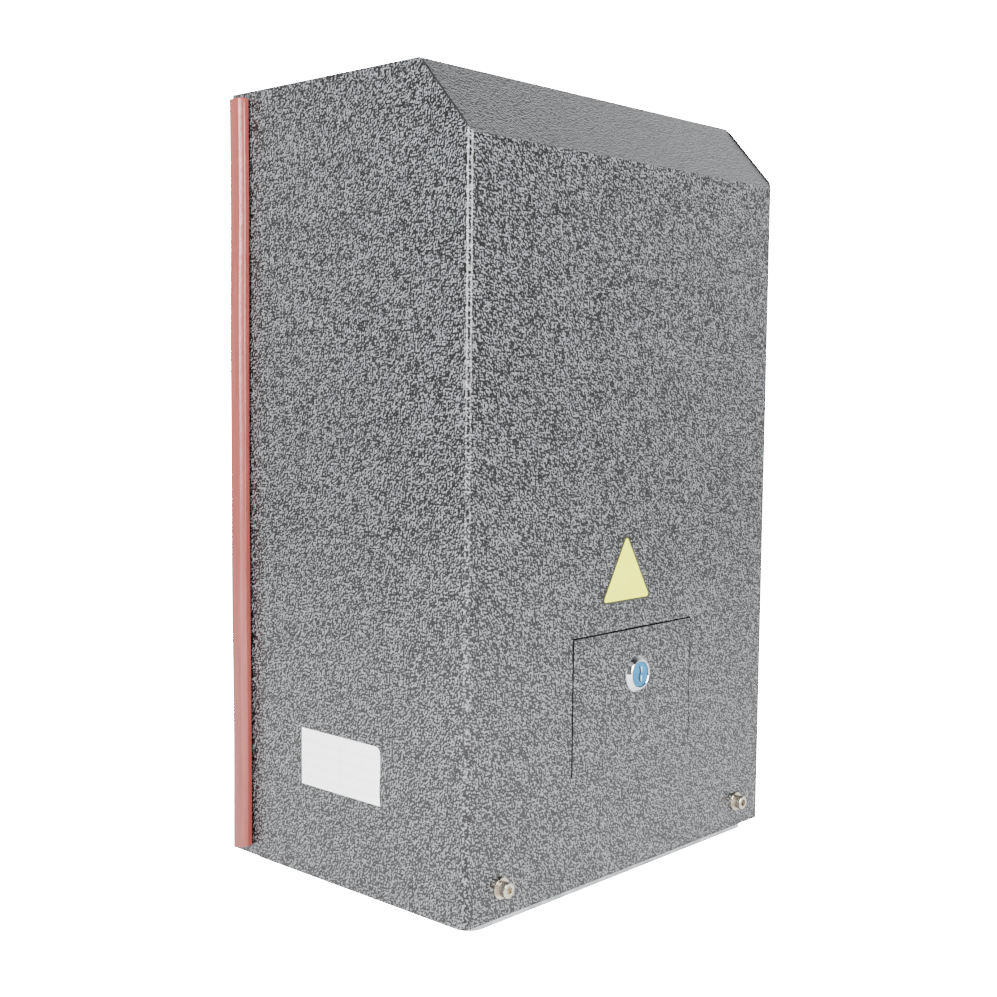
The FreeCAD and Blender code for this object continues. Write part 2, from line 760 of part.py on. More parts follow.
def tooth_gap(drawing, module, teeth, centre, thin, steps=4):
    """One gap between two involute teeth of 20 degrees, open at the tips.

    centre is the gap's angle in the sketch; thin widens it at the pitch circle for backlash.
    """
    pitch = module * teeth / 2
    base = pitch * math.cos(math.radians(20))
    root = pitch - 1.2 * module
    tip = pitch + module + 0.4
    half_gap = math.pi / (2 * teeth) + thin / (2 * pitch)
    start = max(base, root)
    radii = [start + (tip - start) * i / steps for i in range(steps + 1)]
    offsets = [half_gap + involute(base, radius) - involute(base, pitch) for radius in radii]

    def spot(radius, offset):
        return V(radius * math.cos(centre + offset), radius * math.sin(centre + offset), 0)

    upper = [spot(r, o) for r, o in zip(radii, offsets)]
    lower = [spot(r, -o) for r, o in zip(radii, offsets)]
    corner = 0.55 * offsets[0]
    root_arc = Part.Arc(spot(root, -corner), spot(root, 0), spot(root, corner))
    geometry = [root_arc, Part.LineSegment(spot(root, corner), upper[0])]
    for points in (upper, lower):
        flank = Part.BSplineCurve()
        flank.interpolate(points)
        geometry.append(flank)
    geometry.append(Part.LineSegment(lower[0], spot(root, -corner)))
    geometry.append(Part.LineSegment(upper[-1], lower[-1]))
    drawing.addGeometry(geometry, False)


PINION_END = S.pinion_front + S.pinion_width
RECESS_FLOOR = PINION_END - 11
RECESS_RADIUS = 21
NOSE_END = RECESS_FLOOR - 1
KEY_LENGTH = 16


def output_pinion():
    """The rack pinion on the end of the shaft, outside the cover."""
    module, teeth = float(S.pinion_module), int(float(S.pinion_teeth))
    tip = S.pinion_module * (S.pinion_teeth / 2 + 1)
    part = turned("output_pinion", [
        (S.pinion_front, S.nose_radius), (S.pinion_front, tip - 2), (S.pinion_front + 2, tip),
        (PINION_END - 2, tip), (PINION_END, tip - 2), (PINION_END, RECESS_RADIUS),
        (RECESS_FLOOR, RECESS_RADIUS), (RECESS_FLOOR, S.nose_radius),
    ])
    gap = sketch(part, "XZ", S.pinion_front)
    tooth_gap(gap, module, teeth, math.pi / 2, 0.3)
    around(part, [cut(part, gap, S.pinion_width)], S.pinion_teeth)
    keyway = sketch(part, "XZ", S.pinion_front)
    box_outline(keyway, -4, 4, 10, 18.3)
    cut(part, keyway, S.pinion_width)


def worm_wheel():
    """A bronze rim with helical teeth on a cast hub that carries the clutch dogs."""
    module, teeth = float(S.worm_module), int(float(S.wheel_teeth))
    tip = S.worm_module * (S.wheel_teeth / 2 + 1)
    seat = 48
    rim = turned("worm_wheel_rim", [
        (WHEEL_FRONT, seat), (WHEEL_FRONT, tip - 1.5), (WHEEL_FRONT + 1.5, tip),
        (WHEEL_REAR - 1.5, tip), (WHEEL_REAR, tip - 1.5), (WHEEL_REAR, seat),
    ])
    lead_slope = float(S.worm_module) / float(S.worm_diameter)
    twist = lead_slope * (float(S.wheel_width) / 2 + 1) / (module * teeth / 2)
    sections = []
    for end, lean in ((WHEEL_FRONT - 1, twist), (WHEEL_REAR + 1, -twist)):
        section = sketch(rim, "XZ", end)
        tooth_gap(section, module, teeth, math.pi + lean, 0.25, 3)
        sections.append(section)
    before = rim.Shape.Volume
    loft = rim.newObject("PartDesign::SubtractiveLoft", "ToothGap")
    loft.Profile = sections[0]
    loft.Sections = [sections[1]]
    loft.Ruled = True
    must_remove(rim, loft, before)
    around(rim, [loft], S.wheel_teeth)

    bore = S.shaft_radius + S.running_fit
    hub = turned("worm_wheel_hub", [
        (-19, bore), (-19, 31), (5, 31), (9, 40), (9, seat), (19, seat), (19, 40), (23, 33),
        (WHEEL_REAR + 6, 33), (WHEEL_REAR + 6, 22), (WHEEL_REAR, 22), (WHEEL_REAR, bore),
    ])
    seat_ring = sketch(hub, "YZ")
    box_outline(seat_ring, WHEEL_FRONT + 1, WHEEL_REAR - 1, 44, seat)
    revolve(hub, seat_ring, "H_Axis")
    dog_gaps(hub, WHEEL_REAR + 6, 6.0, 31.5, 0)
    light = sketch(hub, "XZ", WHEEL_FRONT + 1)
    disc(light, 4.2, 38, 0)
    around(hub, [cut(hub, light)], 6)


def dog_gaps(part, end, depth, sweep, turn, inner=16, outer=36, back=False):
    """Three equal gaps between face dogs, cut inward from the end face."""
    gap = sketch(part, "XZ", end)
    half = math.radians(sweep)
    middle = math.radians(turn)
    points = []
    for radius, angles in ((inner, (-1, 0, 1)), (outer + 4, (1, 0, -1))):
        for side in angles:
            stretch = radius / math.cos(half) if side else radius
            angle = middle + side * half
            points.append((stretch * math.cos(angle), stretch * math.sin(angle)))
    outline(gap, points)
    around(part, [cut(part, gap, depth, back=not back)], 3)


def worm_shaft():
    """The worm, one start, ground in one piece with the rotor shaft."""
    module = float(S.worm_module)
    pitch_radius = float(S.worm_diameter) / 2
    root = pitch_radius - 1.2 * module
    tip = pitch_radius + module
    half = math.pi * module / 4 - 0.12
    slope = math.tan(math.radians(20))
    part = turned("worm_shaft", [
        (70.5, 0), (70.5, 9.5), (71, 10), (84, 10), (84, 12), (98, 12), (98, root), (162, root),
        (164, 12.6), (205.8, 12.6), (205.8, 12.5), (222, 12.5), (222, 14), (348, 14), (350, 10),
        (388, 10), (388, 8), (418, 8), (419, 7), (419, 0),
    ], "Z")
    turns = 6
    low = float(S.shaft_height) - module * math.pi * turns / 2
    thread = sketch(part, "XZ")
    outline(thread, [
        (root - 0.4, low - half - slope * (pitch_radius - root + 0.4)),
        (tip, low - half + slope * module),
        (tip, low + half - slope * module),
        (root - 0.4, low + half + slope * (pitch_radius - root + 0.4)),
    ])
    helix = part.newObject("PartDesign::AdditiveHelix", "Thread")
    helix.Profile = thread
    helix.ReferenceAxis = (thread, ["V_Axis"])
    helix.Mode = 0
    helix.Pitch = math.pi * module
    helix.Height = math.pi * module * turns
    doc.recompute()


# ---------------------------------------------------------------- output shaft and clutch

SLEEVE_FRONT = WHEEL_REAR + 6.3
SLEEVE_REAR = WHEEL_REAR + 28
PIN_AT = 48


def output_shaft():
    """The hollow-nosed shaft: bearing journals, six splines for the sleeve, key seat."""
    part = turned("output_shaft", [
        (-44, 6.1), (-44, 14.5), (-43.5, 15), (-26, 15), (-26, 23), (-20, 23), (-20, S.shaft_radius),
        (WHEEL_REAR + 1, S.shaft_radius), (WHEEL_REAR + 1, 17.5), (73, 17.5), (73, 24), (74, 24),
        (74, 17.5), (91, 17.5), (91, 17), (102, 17), (102, S.nose_radius),
        (NOSE_END, S.nose_radius), (NOSE_END, 5), (112, 5), (112, 0), (64, 0), (62, 6.1),
    ])
    spline = sketch(part, "XZ", WHEEL_REAR + 2)
    box_outline(spline, -3.5, 3.5, 15, 21)
    around(part, [pad(part, spline, 73 - WHEEL_REAR - 2.5, back=True)], 6)
    cross = sketch(part, "XY", -30)
    box_outline(cross, -4.2, 4.2, PIN_AT - 4.4, PIN_AT + S.release_travel + 4.4)
    cut(part, cross, 60, back=True)
    seat = sketch(part, "XZ", S.pinion_front + 2)
    box_outline(seat, -4, 4, 11, 20)
    cut(part, seat, KEY_LENGTH)


def pinion_fastening():
    """The key, and the bolt and washer that sit in the recess of the pinion's outer face."""
    key = body("pinion_key", (0, 0, S.shaft_height))
    bar = sketch(key, "XZ", S.pinion_front + 2)
    box_outline(bar, -4, 4, 11, 18)
    pad(key, bar, KEY_LENGTH, back=True)
    under = RECESS_FLOOR + 3
    washer = turned("pinion_washer", [(RECESS_FLOOR, 5.5), (RECESS_FLOOR, 20), (under, 20), (under, 5.5)])
    bolt = turned("pinion_screw", [
        (120, 0), (120, 5), (under, 5), (under, 9), (under + 1, 9.2), (under + 1, 0),
    ])
    head = sketch(bolt, "XZ", under + 1)
    polygon(head, 17)
    pad(bolt, head, 6, back=True)
    group("pinion_bolt", [washer, bolt])


def clutch():
    """The dog sleeve with its cross pin and push rod, and the spring behind it."""
    bore = 17.5 + S.running_fit
    sleeve = turned("clutch_sleeve", [
        (WHEEL_REAR + 0.8, 23), (WHEEL_REAR + 0.8, 33), (SLEEVE_REAR - 8, 33), (SLEEVE_REAR - 8, 29),
        (SLEEVE_REAR, 29), (SLEEVE_REAR, bore), (SLEEVE_FRONT, bore), (SLEEVE_FRONT, 23),
    ])
    dog_gaps(sleeve, WHEEL_REAR + 0.8, 5.5, 31.5, 60, back=True)
    splines = sketch(sleeve, "XZ", SLEEVE_FRONT)
    box_outline(splines, -3.6, 3.6, 15, 21.1)
    around(sleeve, [cut(sleeve, splines, SLEEVE_REAR - SLEEVE_FRONT)], 6)
    hole = sketch(sleeve, "XY", -34)
    disc(hole, 4, 0, PIN_AT)
    cut(sleeve, hole, 68, back=True)
    pin = body("clutch_pin", (0, 0, S.shaft_height))
    bar = sketch(pin, "XY", -32)
    disc(bar, 4, 0, PIN_AT)
    pad(pin, bar, 64)
    soften(pin, 0.8, lambda edge: is_round(edge, 4), "Chamfer")
    rod = turned("push_rod", [(-59.7, 0), (-59.7, 4.5), (-58.2, 6), (55, 6), (55, 0)])
    rod_hole = sketch(rod, "XY", -8)
    disc(rod_hole, 4, 0, PIN_AT)
    cut(rod, rod_hole, 16, back=True)
    spring = body("clutch_spring", (0, 0, S.shaft_height))
    wire, mean = 1.5, 26
    start, end = SLEEVE_REAR + 0.1, dim(72.9)
    section = sketch(spring, "YZ")
    disc(section, wire, start + wire, mean)
    coil = spring.newObject("PartDesign::AdditiveHelix", "Coil")
    coil.Profile = section
    coil.ReferenceAxis = (section, ["H_Axis"])
    coil.Mode = 1
    coil.Turns = 3
    coil.setExpression("Pitch", ((end - start - 2 * wire) / 3).text)
    doc.recompute()


# ---------------------------------------------------------------- release mechanism

CAM_FLAT = -76
CAM_SWEEP = 130


def ramp(part, low, high, inner, outer, sweep, remove=False):
    """A pair of helical ramps about the shaft line, added or cut, rising along +Y."""
    before = part.Shape.Volume
    section = sketch(part, "YZ")
    box_outline(section, low, high, inner, outer)
    kind = "Subtractive" if remove else "Additive"
    helix = part.newObject(f"PartDesign::{kind}Helix", "Ramp")
    helix.Profile = section
    helix.ReferenceAxis = (section, ["H_Axis"])
    helix.Mode = 0
    helix.setExpression("Pitch", S.release_lead.text)
    helix.setExpression("Height", (S.release_lead * sweep / 360).text)
    doc.recompute()
    if remove:
        must_remove(part, helix, before)
    around(part, [helix], 2)


def release_mechanism():
    """The lever turns a face cam; the keyed bush climbs its ramps and pushes the rod."""
    cam = turned("release_cam", [
        (-98, 0), (-98, 8.5), (-97.5, 9), (-83.7, 9), (-83.7, 19), (CAM_FLAT, 19), (CAM_FLAT, 10),
        (CAM_FLAT, 0),
    ])
    ramp(cam, CAM_FLAT - 4, CAM_FLAT, 10, 19, CAM_SWEEP)
    square = sketch(cam, "XZ", -98)
    box_outline(square, 6.8, 12, -12, 12)
    box_outline(square, -12, -6.8, -12, 12)
    cut(cam, square, 10)
    tapped = sketch(cam, "XZ", -98)
    disc(tapped, 2.5)
    cut(cam, tapped, 12)

    bush_face = CAM_FLAT + 0.4
    bush = turned("release_bush", [
        (bush_face, 9.6), (bush_face, 21.3), (-60, 21.3), (-60, 0), (-64, 0), (-64, 9.6),
    ])
    ramp(bush, bush_face - 12, bush_face, 9, 22, CAM_SWEEP + 2, remove=True)
    lugs = sketch(bush, "XZ", -66)
    box_outline(lugs, -24.3, -15, -4, 4)
    box_outline(lugs, 15, 24.3, -4, 4)
    pad(bush, lugs, 6, back=True)

    lever = body("release_lever", (0, 0, S.shaft_height))
    hub = sketch(lever, "XZ", -98)
    disc(hub, 16)
    pad(lever, hub, 11, back=True)
    arm = sketch(lever, "XZ", -97)
    outline(arm, [(0, -9), (-20, -7), (-46, -6), (-46, 6), (-20, 7), (0, 9)])
    pad(lever, arm, 8, back=True)
    bore = sketch(lever, "XZ", -98)
    flatted_disc(bore, 9.02, 6.82)
    cut(lever, bore, 10.2)
    spindle = sketch(lever, "XZ", -88)
    disc(spindle, 9.1)
    cut(lever, spindle, 1.5)

    grip = body("release_grip", (0, 0, S.shaft_height))
    paddle = sketch(grip, "XZ", -102)
    box_outline(paddle, -50, -24, -9, 9)
    pad(grip, paddle, 15, back=True)
    soften(grip, 8, lambda edge: runs_along(edge, 1) and edge.CenterOfMass.x < -40)
    soften(grip, 1.2, lambda edge: abs(edge.CenterOfMass.y + 102) < 0.01)
    socket = sketch(grip, "XZ", -97.1)
    outline(socket, [(-23, -6.9), (-46.1, -6.1), (-46.1, 6.1), (-23, 6.9)])
    cut(grip, socket, 8.2)
    turned("lever_screw", [
        (-102, 0), (-102, 4.6), (-101.6, 5), (-98, 5), (-98, 2.5), (-88, 2.5), (-88, 0),
    ])


# ---------------------------------------------------------------- motor

def motor_flange():
    part = turned("motor_flange", [
        (S.gearbox_top, 20), (S.gearbox_top, 60), (S.gearbox_top + 9, 60), (S.stator_base, 66),
        (S.stator_base, S.stator_bore - 0.1), (S.stator_base - 4, 40), (221, 40), (221, 26),
        (206, 26), (206, 20),
    ], "Z")
    motor_ears(part, S.stator_base - 12, 12)


def motor_ears(part, level, thick):
    """Four ears with holes for the tie bolts."""
    ring = S.fin_radius + 4
    spot = ring * math.cos(math.radians(45))
    ears = sketch(part, "XY", level)
    disc(ears, 8, spot, spot)
    ear = pad(part, ears, thick)
    web = sketch(part, "XY", level)
    inner = 40
    outline(web, [(inner + 5, inner - 5), (spot + 5, spot - 5), (spot - 5, spot + 5), (inner - 5, inner + 5)])
    bridge = pad(part, web, thick)
    around(part, [ear, bridge], 4, "Z_Axis")
    holes = sketch(part, "XY", level + thick)
    disc(holes, 3, spot, spot)
    around(part, [cut(part, holes, thick)], 4, "Z_Axis")


def stator_housing():
    """An extruded tube with upright cooling fins and a flat for the terminal box."""
    part = body("stator_housing", (S.worm_x, S.worm_y, 0))
    ring = sketch(part, "XY", S.stator_base)
    disc(ring, S.stator_wall)
    disc(ring, S.stator_bore)
    pad(part, ring, S.stator_height)
    fin = sketch(part, "XY", S.stator_base + 2)
    outline(fin, [
        (S.stator_wall - 1, -1.6), (S.fin_radius, -0.9), (S.fin_radius, 0.9), (S.stator_wall - 1, 1.6),
    ])
    around(part, [pad(part, fin, S.stator_height - 4)], 32, "Z_Axis")
    flat = sketch(part, "XZ", -S.fin_radius - 1)
    box_outline(flat, -34, 34, 266, 334)
    pad(part, flat, 16, back=True)
    inside = sketch(part, "XY", S.stator_base + S.stator_height)
    disc(inside, S.stator_bore)
    cut(part, inside, S.stator_height)


def terminal_box():
    part = body("terminal_box", (S.worm_x, S.worm_y, 0))
    face = sketch(part, "XZ", -S.fin_radius - 1)
    box_outline(face, -32, 32, 268, 332)
    pad(part, face, 26)
    soften(part, 6, lambda edge: runs_along(edge, 1))
    soften(part, 2, lambda edge: abs(edge.CenterOfMass.y + float(S.fin_radius) + 27) < 0.01)


def stator_parts():
    stack = 100
    low = S.stator_base + (S.stator_height - stack) / 2
    high = low + stack
    core = turned("stator_core", [
        (low, S.rotor_radius + S.air_gap), (low, S.stator_bore), (high, S.stator_bore),
        (high, S.rotor_radius + S.air_gap),
    ], "Z")
    slot_shape = sketch(core, "XY", high)
    outline(slot_shape, [
        (33, -1.2), (36.5, -1.2), (38, -2.6), (47, -3.4), (47, 3.4), (38, 2.6), (36.5, 1.2), (33, 1.2),
    ])
    around(core, [cut(core, slot_shape, stack)], 18, "Z_Axis")
    heads = []
    for name, start, end in (("low", low - 16, low - 0.2), ("high", high + 0.2, high + 16)):
        heads.append(turned("winding_" + name, [
            (start + 3, 38), (start, 41), (start, 48), (start + 3, 51), (end - 3, 51), (end, 48),
            (end, 41), (end - 3, 38),
        ], "Z"))
    group("stator_winding", heads)
    rotor = turned("rotor_core", [
        (low - 6, 14), (low - 6, 31), (low, 31), (low, S.rotor_radius), (high, S.rotor_radius),
        (high, 31), (high + 6, 31), (high + 6, 14),
    ], "Z")
    bars = sketch(rotor, "XY", high + 6)
    disc(bars, 2.2, 27.5, 0)
    around(rotor, [cut(rotor, bars, 3)], 12, "Z_Axis")


def motor_top():
    """The end bell over the stator, the fan above it and the fan's cowl."""
    top = S.stator_base + S.stator_height
    bell = turned("motor_endbell", [
        (top, S.stator_bore), (top, 66), (top + 6, 66), (top + 10, 60), (top + 18, 34), (top + 18, 14),
        (388, 14), (388, 23.5), (top + 2, 23.5), (top + 2, 28), (top + 6, 50), (top + 5, S.stator_bore),
    ], "Z")
    motor_ears(bell, top, 8)
    fan = turned("cooling_fan", [
        (394, 8), (394, 13), (397, 13), (397, 54), (398.6, 54), (399.6, 13), (416, 12), (416, 8),
    ], "Z")
    blade = sketch(fan, "XY", 398)
    outline(blade, [(12, -1), (54, -1), (54, 1), (12, 1)])
    around(fan, [pad(fan, blade, 16)], 8, "Z_Axis")
    cowl = turned("fan_cowl", [
        (top + 8, 64.9), (top + 8, 66.4), (424, 66.4), (434, 56.7), (434, 0), (432.5, 0), (432.5, 56.1),
        (423.4, 64.9),
    ], "Z")
    vent = sketch(cowl, "XY", 434)
    outline(vent, [(16, -1.6), (50, -3.2), (50, 3.2), (16, 1.6)])
    around(cowl, [cut(cowl, vent, 5)], 16, "Z_Axis")
    bolts = []
    ring = (S.fin_radius + 4) * math.cos(math.radians(45))
    for sx, sy in ((1, 1), (-1, 1), (-1, -1), (1, -1)):
        at = (S.worm_x + ring * sx, S.worm_y + ring * sy, top + 8)
        bolts.append(cap_screw(f"tie_bolt_{len(bolts) + 1}", at, S.stator_height + 20, 3, 5, 6, True))
    group("motor_tie_bolts", bolts)


# ---------------------------------------------------------------- limit switch

LIMIT_HEIGHT = 212
LIMIT_PIVOT = 84


def limit_switch():
    """The switch block over the pinion and the spring feeler that trips it."""
    bracket = body("limit_switch_bracket", (0, 0, 0))
    base = sketch(bracket, "YZ")
    low = S.shaft_height + 52
    outline(base, [
        (66, low), (98, low), (98, low + 2), (68, low + 2), (68, 228), (66, 228),
    ])
    pad(bracket, base, 36, both=True)
    soften(bracket, 4, lambda edge: runs_along(edge, 1) and edge.CenterOfMass.z > 220)
    case = body("limit_switch")
    plan = sketch(case, "XY", LIMIT_HEIGHT - 16)
    box_outline(plan, -17, 17, 68, 96)
    pad(case, plan, 32)
    soften(case, 2, lambda edge: runs_along(edge, 2))
    mouth = sketch(case, "XY", LIMIT_HEIGHT + 7)
    outline(mouth, [(-8, 78), (8, 78), (14, 97), (-14, 97)])
    cut(case, mouth, 14)
    feeler = body("limit_feeler", (0, LIMIT_PIVOT, LIMIT_HEIGHT))
    profile = sketch(feeler, "YZ")
    outline(profile, [
        (-3, 0), (-3, 4.5), (16, 4.5), (16, 3.6), (20, 3.6), (22, 4.8), (24, 3.6), (26, 4.8), (28, 3.6),
        (30, 4.8), (32, 3.6), (34, 4.8), (36, 3.6), (38, 2.5), (68, 2.5), (70, 1.5), (70, 0),
    ])
    revolve(feeler, profile, "H_Axis")
    pivot = sketch(feeler, "XY")
    disc(pivot, 5)
    pad(feeler, pivot, 13, both=True)


# ---------------------------------------------------------------- electronics

def board_bracket():
    """A folded sheet bracket that carries the board and the capacitor."""
    part = body("board_bracket")
    face = sketch(part, "XZ", S.board_plane)
    outline(face, [
        (96, S.plate_thick), (150, S.plate_thick), (150, 452), (6, 452), (6, 236), (96, 216),
    ])
    pad(part, face, 2, back=True)
    flange = sketch(part, "XZ", S.board_plane)
    box_outline(flange, 148, 150, S.plate_thick, 452)
    pad(part, flange, 22, back=True)
    foot = sketch(part, "XY", S.plate_thick)
    box_outline(foot, 96, 150, S.board_plane, S.board_plane + 32)
    pad(part, foot, 2)
    vents = sketch(part, "XZ", S.board_plane)
    slot(vents, 122, 170, 24, 3)
    row = cut(part, vents, 2)
    along(part, [row], "Z_Axis", 30, 4)


def control_board():
    part = body("control_board")
    board = S.board_plane - 10
    face = sketch(part, "XZ", board)
    box_outline(face, 14, 142, 250, 440)
    pad(part, face, 1.6, back=True)
    soften(part, 3, lambda edge: runs_along(edge, 1))
    spacers = []
    for x in (20, 136):
        for height in (256, 434):
            pillar = turned(f"pillar_{len(spacers) + 1}", [
                (board + 1.6, 0), (board + 1.6, 3.5), (S.board_plane, 3.5), (S.board_plane, 0),
            ], "Y", (x, 0, height))
            spacers.append(pillar)
    group("board_standoffs", spacers)
    relays = []
    for i in range(3):
        relay = body(f"relay_{i + 1}", (34 + 34 * i, board, 372))
        plan = sketch(relay, "XZ")
        box_outline(plan, 0, 28, 0, 13)
        pad(relay, plan, 16)
        soften(relay, 1.2, lambda edge: edge.CenterOfMass.y < -15.9)
        relays.append(relay)
    group("relays", relays)
    blocks = []
    for i in range(2):
        block = body(f"block_{i + 1}", (22 + 58 * i, board, 254))
        profile = sketch(block, "YZ")
        outline(profile, [(0, 0), (-12, 0), (-16, 3), (-16, 9), (-10, 15), (0, 15)])
        pad(block, profile, 54)
        entry = sketch(block, "XZ", -16)
        box_outline(entry, 1.6, 4.8, 2.5, 7.5)
        along(block, [cut(block, entry, 6)], "X_Axis", 44.8, 8)
        blocks.append(block)
    group("terminal_blocks", blocks)
    iron = body("transformer", (92, board, 300))
    stack = sketch(iron, "XZ", -6)
    box_outline(stack, -22, 22, -8, 44)
    pad(iron, stack, 22)
    limb = sketch(iron, "XZ")
    box_outline(limb, -15, 15, 0, 36)
    pad(iron, limb, 38)
    soften(iron, 5, lambda edge: runs_along(edge, 1) and abs(abs(edge.CenterOfMass.x) - 15) < 0.01
           and edge.CenterOfMass.y < -30)


def capacitor():
    """The run capacitor, upright in a sprung clip on the bracket's leg."""
    radius = 22
    at = (122, S.board_plane - radius - 2.5, 0)
    turned("run_capacitor", [
        (56, 0), (56, radius - 2), (58, radius), (146, radius), (148, radius - 1.5), (148, 12),
        (156, 11), (156, 0),
    ], "Z", at)
    clip = body("capacitor_clip", at)
    band = sketch(clip, "XY", 92)
    disc(band, radius + 2)
    disc(band, radius + 0.1)
    pad(clip, band, 18)
    back = sketch(clip, "XY", 92)
    box_outline(back, -10, 10, radius + 0.6, radius + 2.5)
    pad(clip, back, 18)
    mouth = sketch(clip, "XY", 110)
    box_outline(mouth, -9, 9, -radius - 6, -radius + 8)
    cut(clip, mouth, 18)


# ---------------------------------------------------------------- build and write

def build():
    base_plate()
    cable_grommet()
    cover_brackets()
    cover()
    trim_strip("left", -1)
    trim_strip("right", 1)
    cover_fixings()
    release_door()
    lock()
    gearbox_housing()
    gearbox_cover()
    gearbox_screws()
    bearings_and_seal()
    oil_plug()
    output_shaft()
    output_pinion()
    pinion_fastening()
    worm_wheel()
    worm_shaft()
    clutch()
    release_mechanism()
    motor_flange()
    stator_housing()
    terminal_box()
    stator_parts()
    motor_top()
    limit_switch()
    board_bracket()
    control_board()
    capacitor()


def check_document():
    """Stop if any object failed or any piece is not a sound solid."""
    doc.recompute()
    for item in doc.Objects:
        if "Invalid" in item.State or "Error" in item.State:
            raise RuntimeError(f"{item.Label} failed: {item.State}")
    for part in parts:
        shape = part.Shape
        if shape.isNull() or not shape.isValid() or not shape.Solids:
            raise RuntimeError(f"{part.Label} is not a valid solid")


def write_parts():
    os.makedirs("parts", exist_ok=True)
    for part in parts:
        part.Shape.exportStep(f"parts/{part.Label}.step")


build()
check_document()
write_parts()
print(len(parts), "pieces written")
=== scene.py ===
"""Dresses the sliding gate motor: hammer-finish hood, trim strips, cam lock, stickers,
galvanised plate, the drive behind the hood, and a pale studio round it.

Lengths are in metres unless a name says mm. X runs across the front, Y points to the gate."""
import math

import bmesh
import bpy
from mathutils import Matrix, Vector


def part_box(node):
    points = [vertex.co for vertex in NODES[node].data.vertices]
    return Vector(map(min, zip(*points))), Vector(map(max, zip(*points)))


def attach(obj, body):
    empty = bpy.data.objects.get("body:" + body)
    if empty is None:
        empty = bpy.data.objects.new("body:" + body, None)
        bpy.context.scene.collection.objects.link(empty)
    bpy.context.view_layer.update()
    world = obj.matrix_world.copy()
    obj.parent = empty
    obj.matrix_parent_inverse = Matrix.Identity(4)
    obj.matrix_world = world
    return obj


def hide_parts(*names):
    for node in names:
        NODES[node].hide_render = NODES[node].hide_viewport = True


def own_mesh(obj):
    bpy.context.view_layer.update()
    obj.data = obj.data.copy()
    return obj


bl_info = {
    "name": "Sliding gate motor dressing",
    "version": (1, 0, 0),
    "blender": (4, 5, 0),
    "location": "View3D > Sidebar > Gate motor",
    "description": "Finishes, small pieces, lights and camera for a sliding gate motor",
    "category": "Object",
}

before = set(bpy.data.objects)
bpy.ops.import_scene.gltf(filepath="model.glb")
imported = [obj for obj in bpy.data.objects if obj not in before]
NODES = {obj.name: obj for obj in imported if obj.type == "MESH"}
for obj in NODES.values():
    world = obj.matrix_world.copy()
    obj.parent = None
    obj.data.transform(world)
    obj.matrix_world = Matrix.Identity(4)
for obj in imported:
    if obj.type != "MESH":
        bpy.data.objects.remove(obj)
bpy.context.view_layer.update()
MM = 0.001

HOOD_LOW, HOOD_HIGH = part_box("cover")
DOOR_LOW, DOOR_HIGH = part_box("release_door")
BARREL_LOW, BARREL_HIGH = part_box("lock_barrel")
STRIP_LOW, STRIP_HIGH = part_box("trim_strip_left")
LOCK_X = (BARREL_LOW.x + BARREL_HIGH.x) / 2
LOCK_Z = (BARREL_LOW.z + BARREL_HIGH.z) / 2
HOOD_SHEET_MM = 1.5

# Bearings are in degrees from the X axis. The room is darkest at this one, behind the camera.
DARK_BEARING = 226
# the table's brightness to the camera, and the light that it throws on the part
TABLE_GLOW = 40.0
TABLE_BOUNCE = 0.6


# ---------------------------------------------------------------- small helpers

def linear(hex_colour):
    """An sRGB hex colour as a linear RGBA value."""
    channels = []
    for i in (0, 2, 4):
        value = int(hex_colour[i:i + 2], 16) / 255
        channels.append(value / 12.92 if value <= 0.04045 else ((value + 0.055) / 1.055) ** 2.4)
    return (*channels, 1.0)


def add(tree, kind, settings=None, inputs=None, stops=None):
    """A node with its settings, its values or links, and a ramp's (place, hex colour) stops."""
    made = tree.nodes.new("ShaderNode" + kind)
    for name, value in (settings or {}).items():
        setattr(made, name, value)
    for name, value in (inputs or {}).items():
        if isinstance(value, bpy.types.NodeSocket):
            tree.links.new(value, made.inputs[name])
        else:
            made.inputs[name].default_value = value
    for i, (place, colour) in enumerate(stops or ()):
        points = made.color_ramp.elements
        point = points[i] if i < 2 else points.new(place)
        point.position = place
        point.color = linear(colour)
    return made


def start_material(name):
    """A new material with only a principled shader on its output."""
    material = bpy.data.materials.new(name)
    material.use_nodes = True
    tree = material.node_tree
    tree.nodes.clear()
    shader = add(tree, "BsdfPrincipled")
    add(tree, "OutputMaterial", inputs={"Surface": shader.outputs["BSDF"]})
    place = add(tree, "TexCoord").outputs["Object"]
    return material, tree, shader, place


def per_metre(millimetres):
    """Texture scale at which one cell is so many millimetres wide."""
    return 1000 / millimetres


def grained(name, colours, grain_mm, rough, metallic=0.0, relief_mm=0.0, stretch=(1, 1, 1),
            detail=3.0):
    """A finish whose colour, gloss and relief all follow one grain, which may be drawn out."""
    material, tree, shader, place = start_material(name)
    drawn = add(tree, "Mapping", inputs={"Vector": place, "Scale": stretch}).outputs["Vector"]
    grain = add(tree, "TexNoise", inputs={
        "Vector": drawn, "Scale": per_metre(grain_mm), "Detail": detail}).outputs["Fac"]
    colour = add(tree, "ValToRGB", inputs={"Fac": grain}, stops=[
        (0.3, colours[0]), (0.7, colours[1])])
    gloss = add(tree, "MapRange", inputs={
        "Value": grain, "From Min": 0.3, "From Max": 0.7, "To Min": rough[0], "To Max": rough[1]})
    tree.links.new(colour.outputs["Color"], shader.inputs["Base Color"])
    tree.links.new(gloss.outputs["Result"], shader.inputs["Roughness"])
    shader.inputs["Metallic"].default_value = metallic
    if relief_mm:
        skin = add(tree, "Bump", inputs={"Height": grain, "Distance": relief_mm * MM})
        tree.links.new(skin.outputs["Normal"], shader.inputs["Normal"])
    return material


# ---------------------------------------------------------------- materials

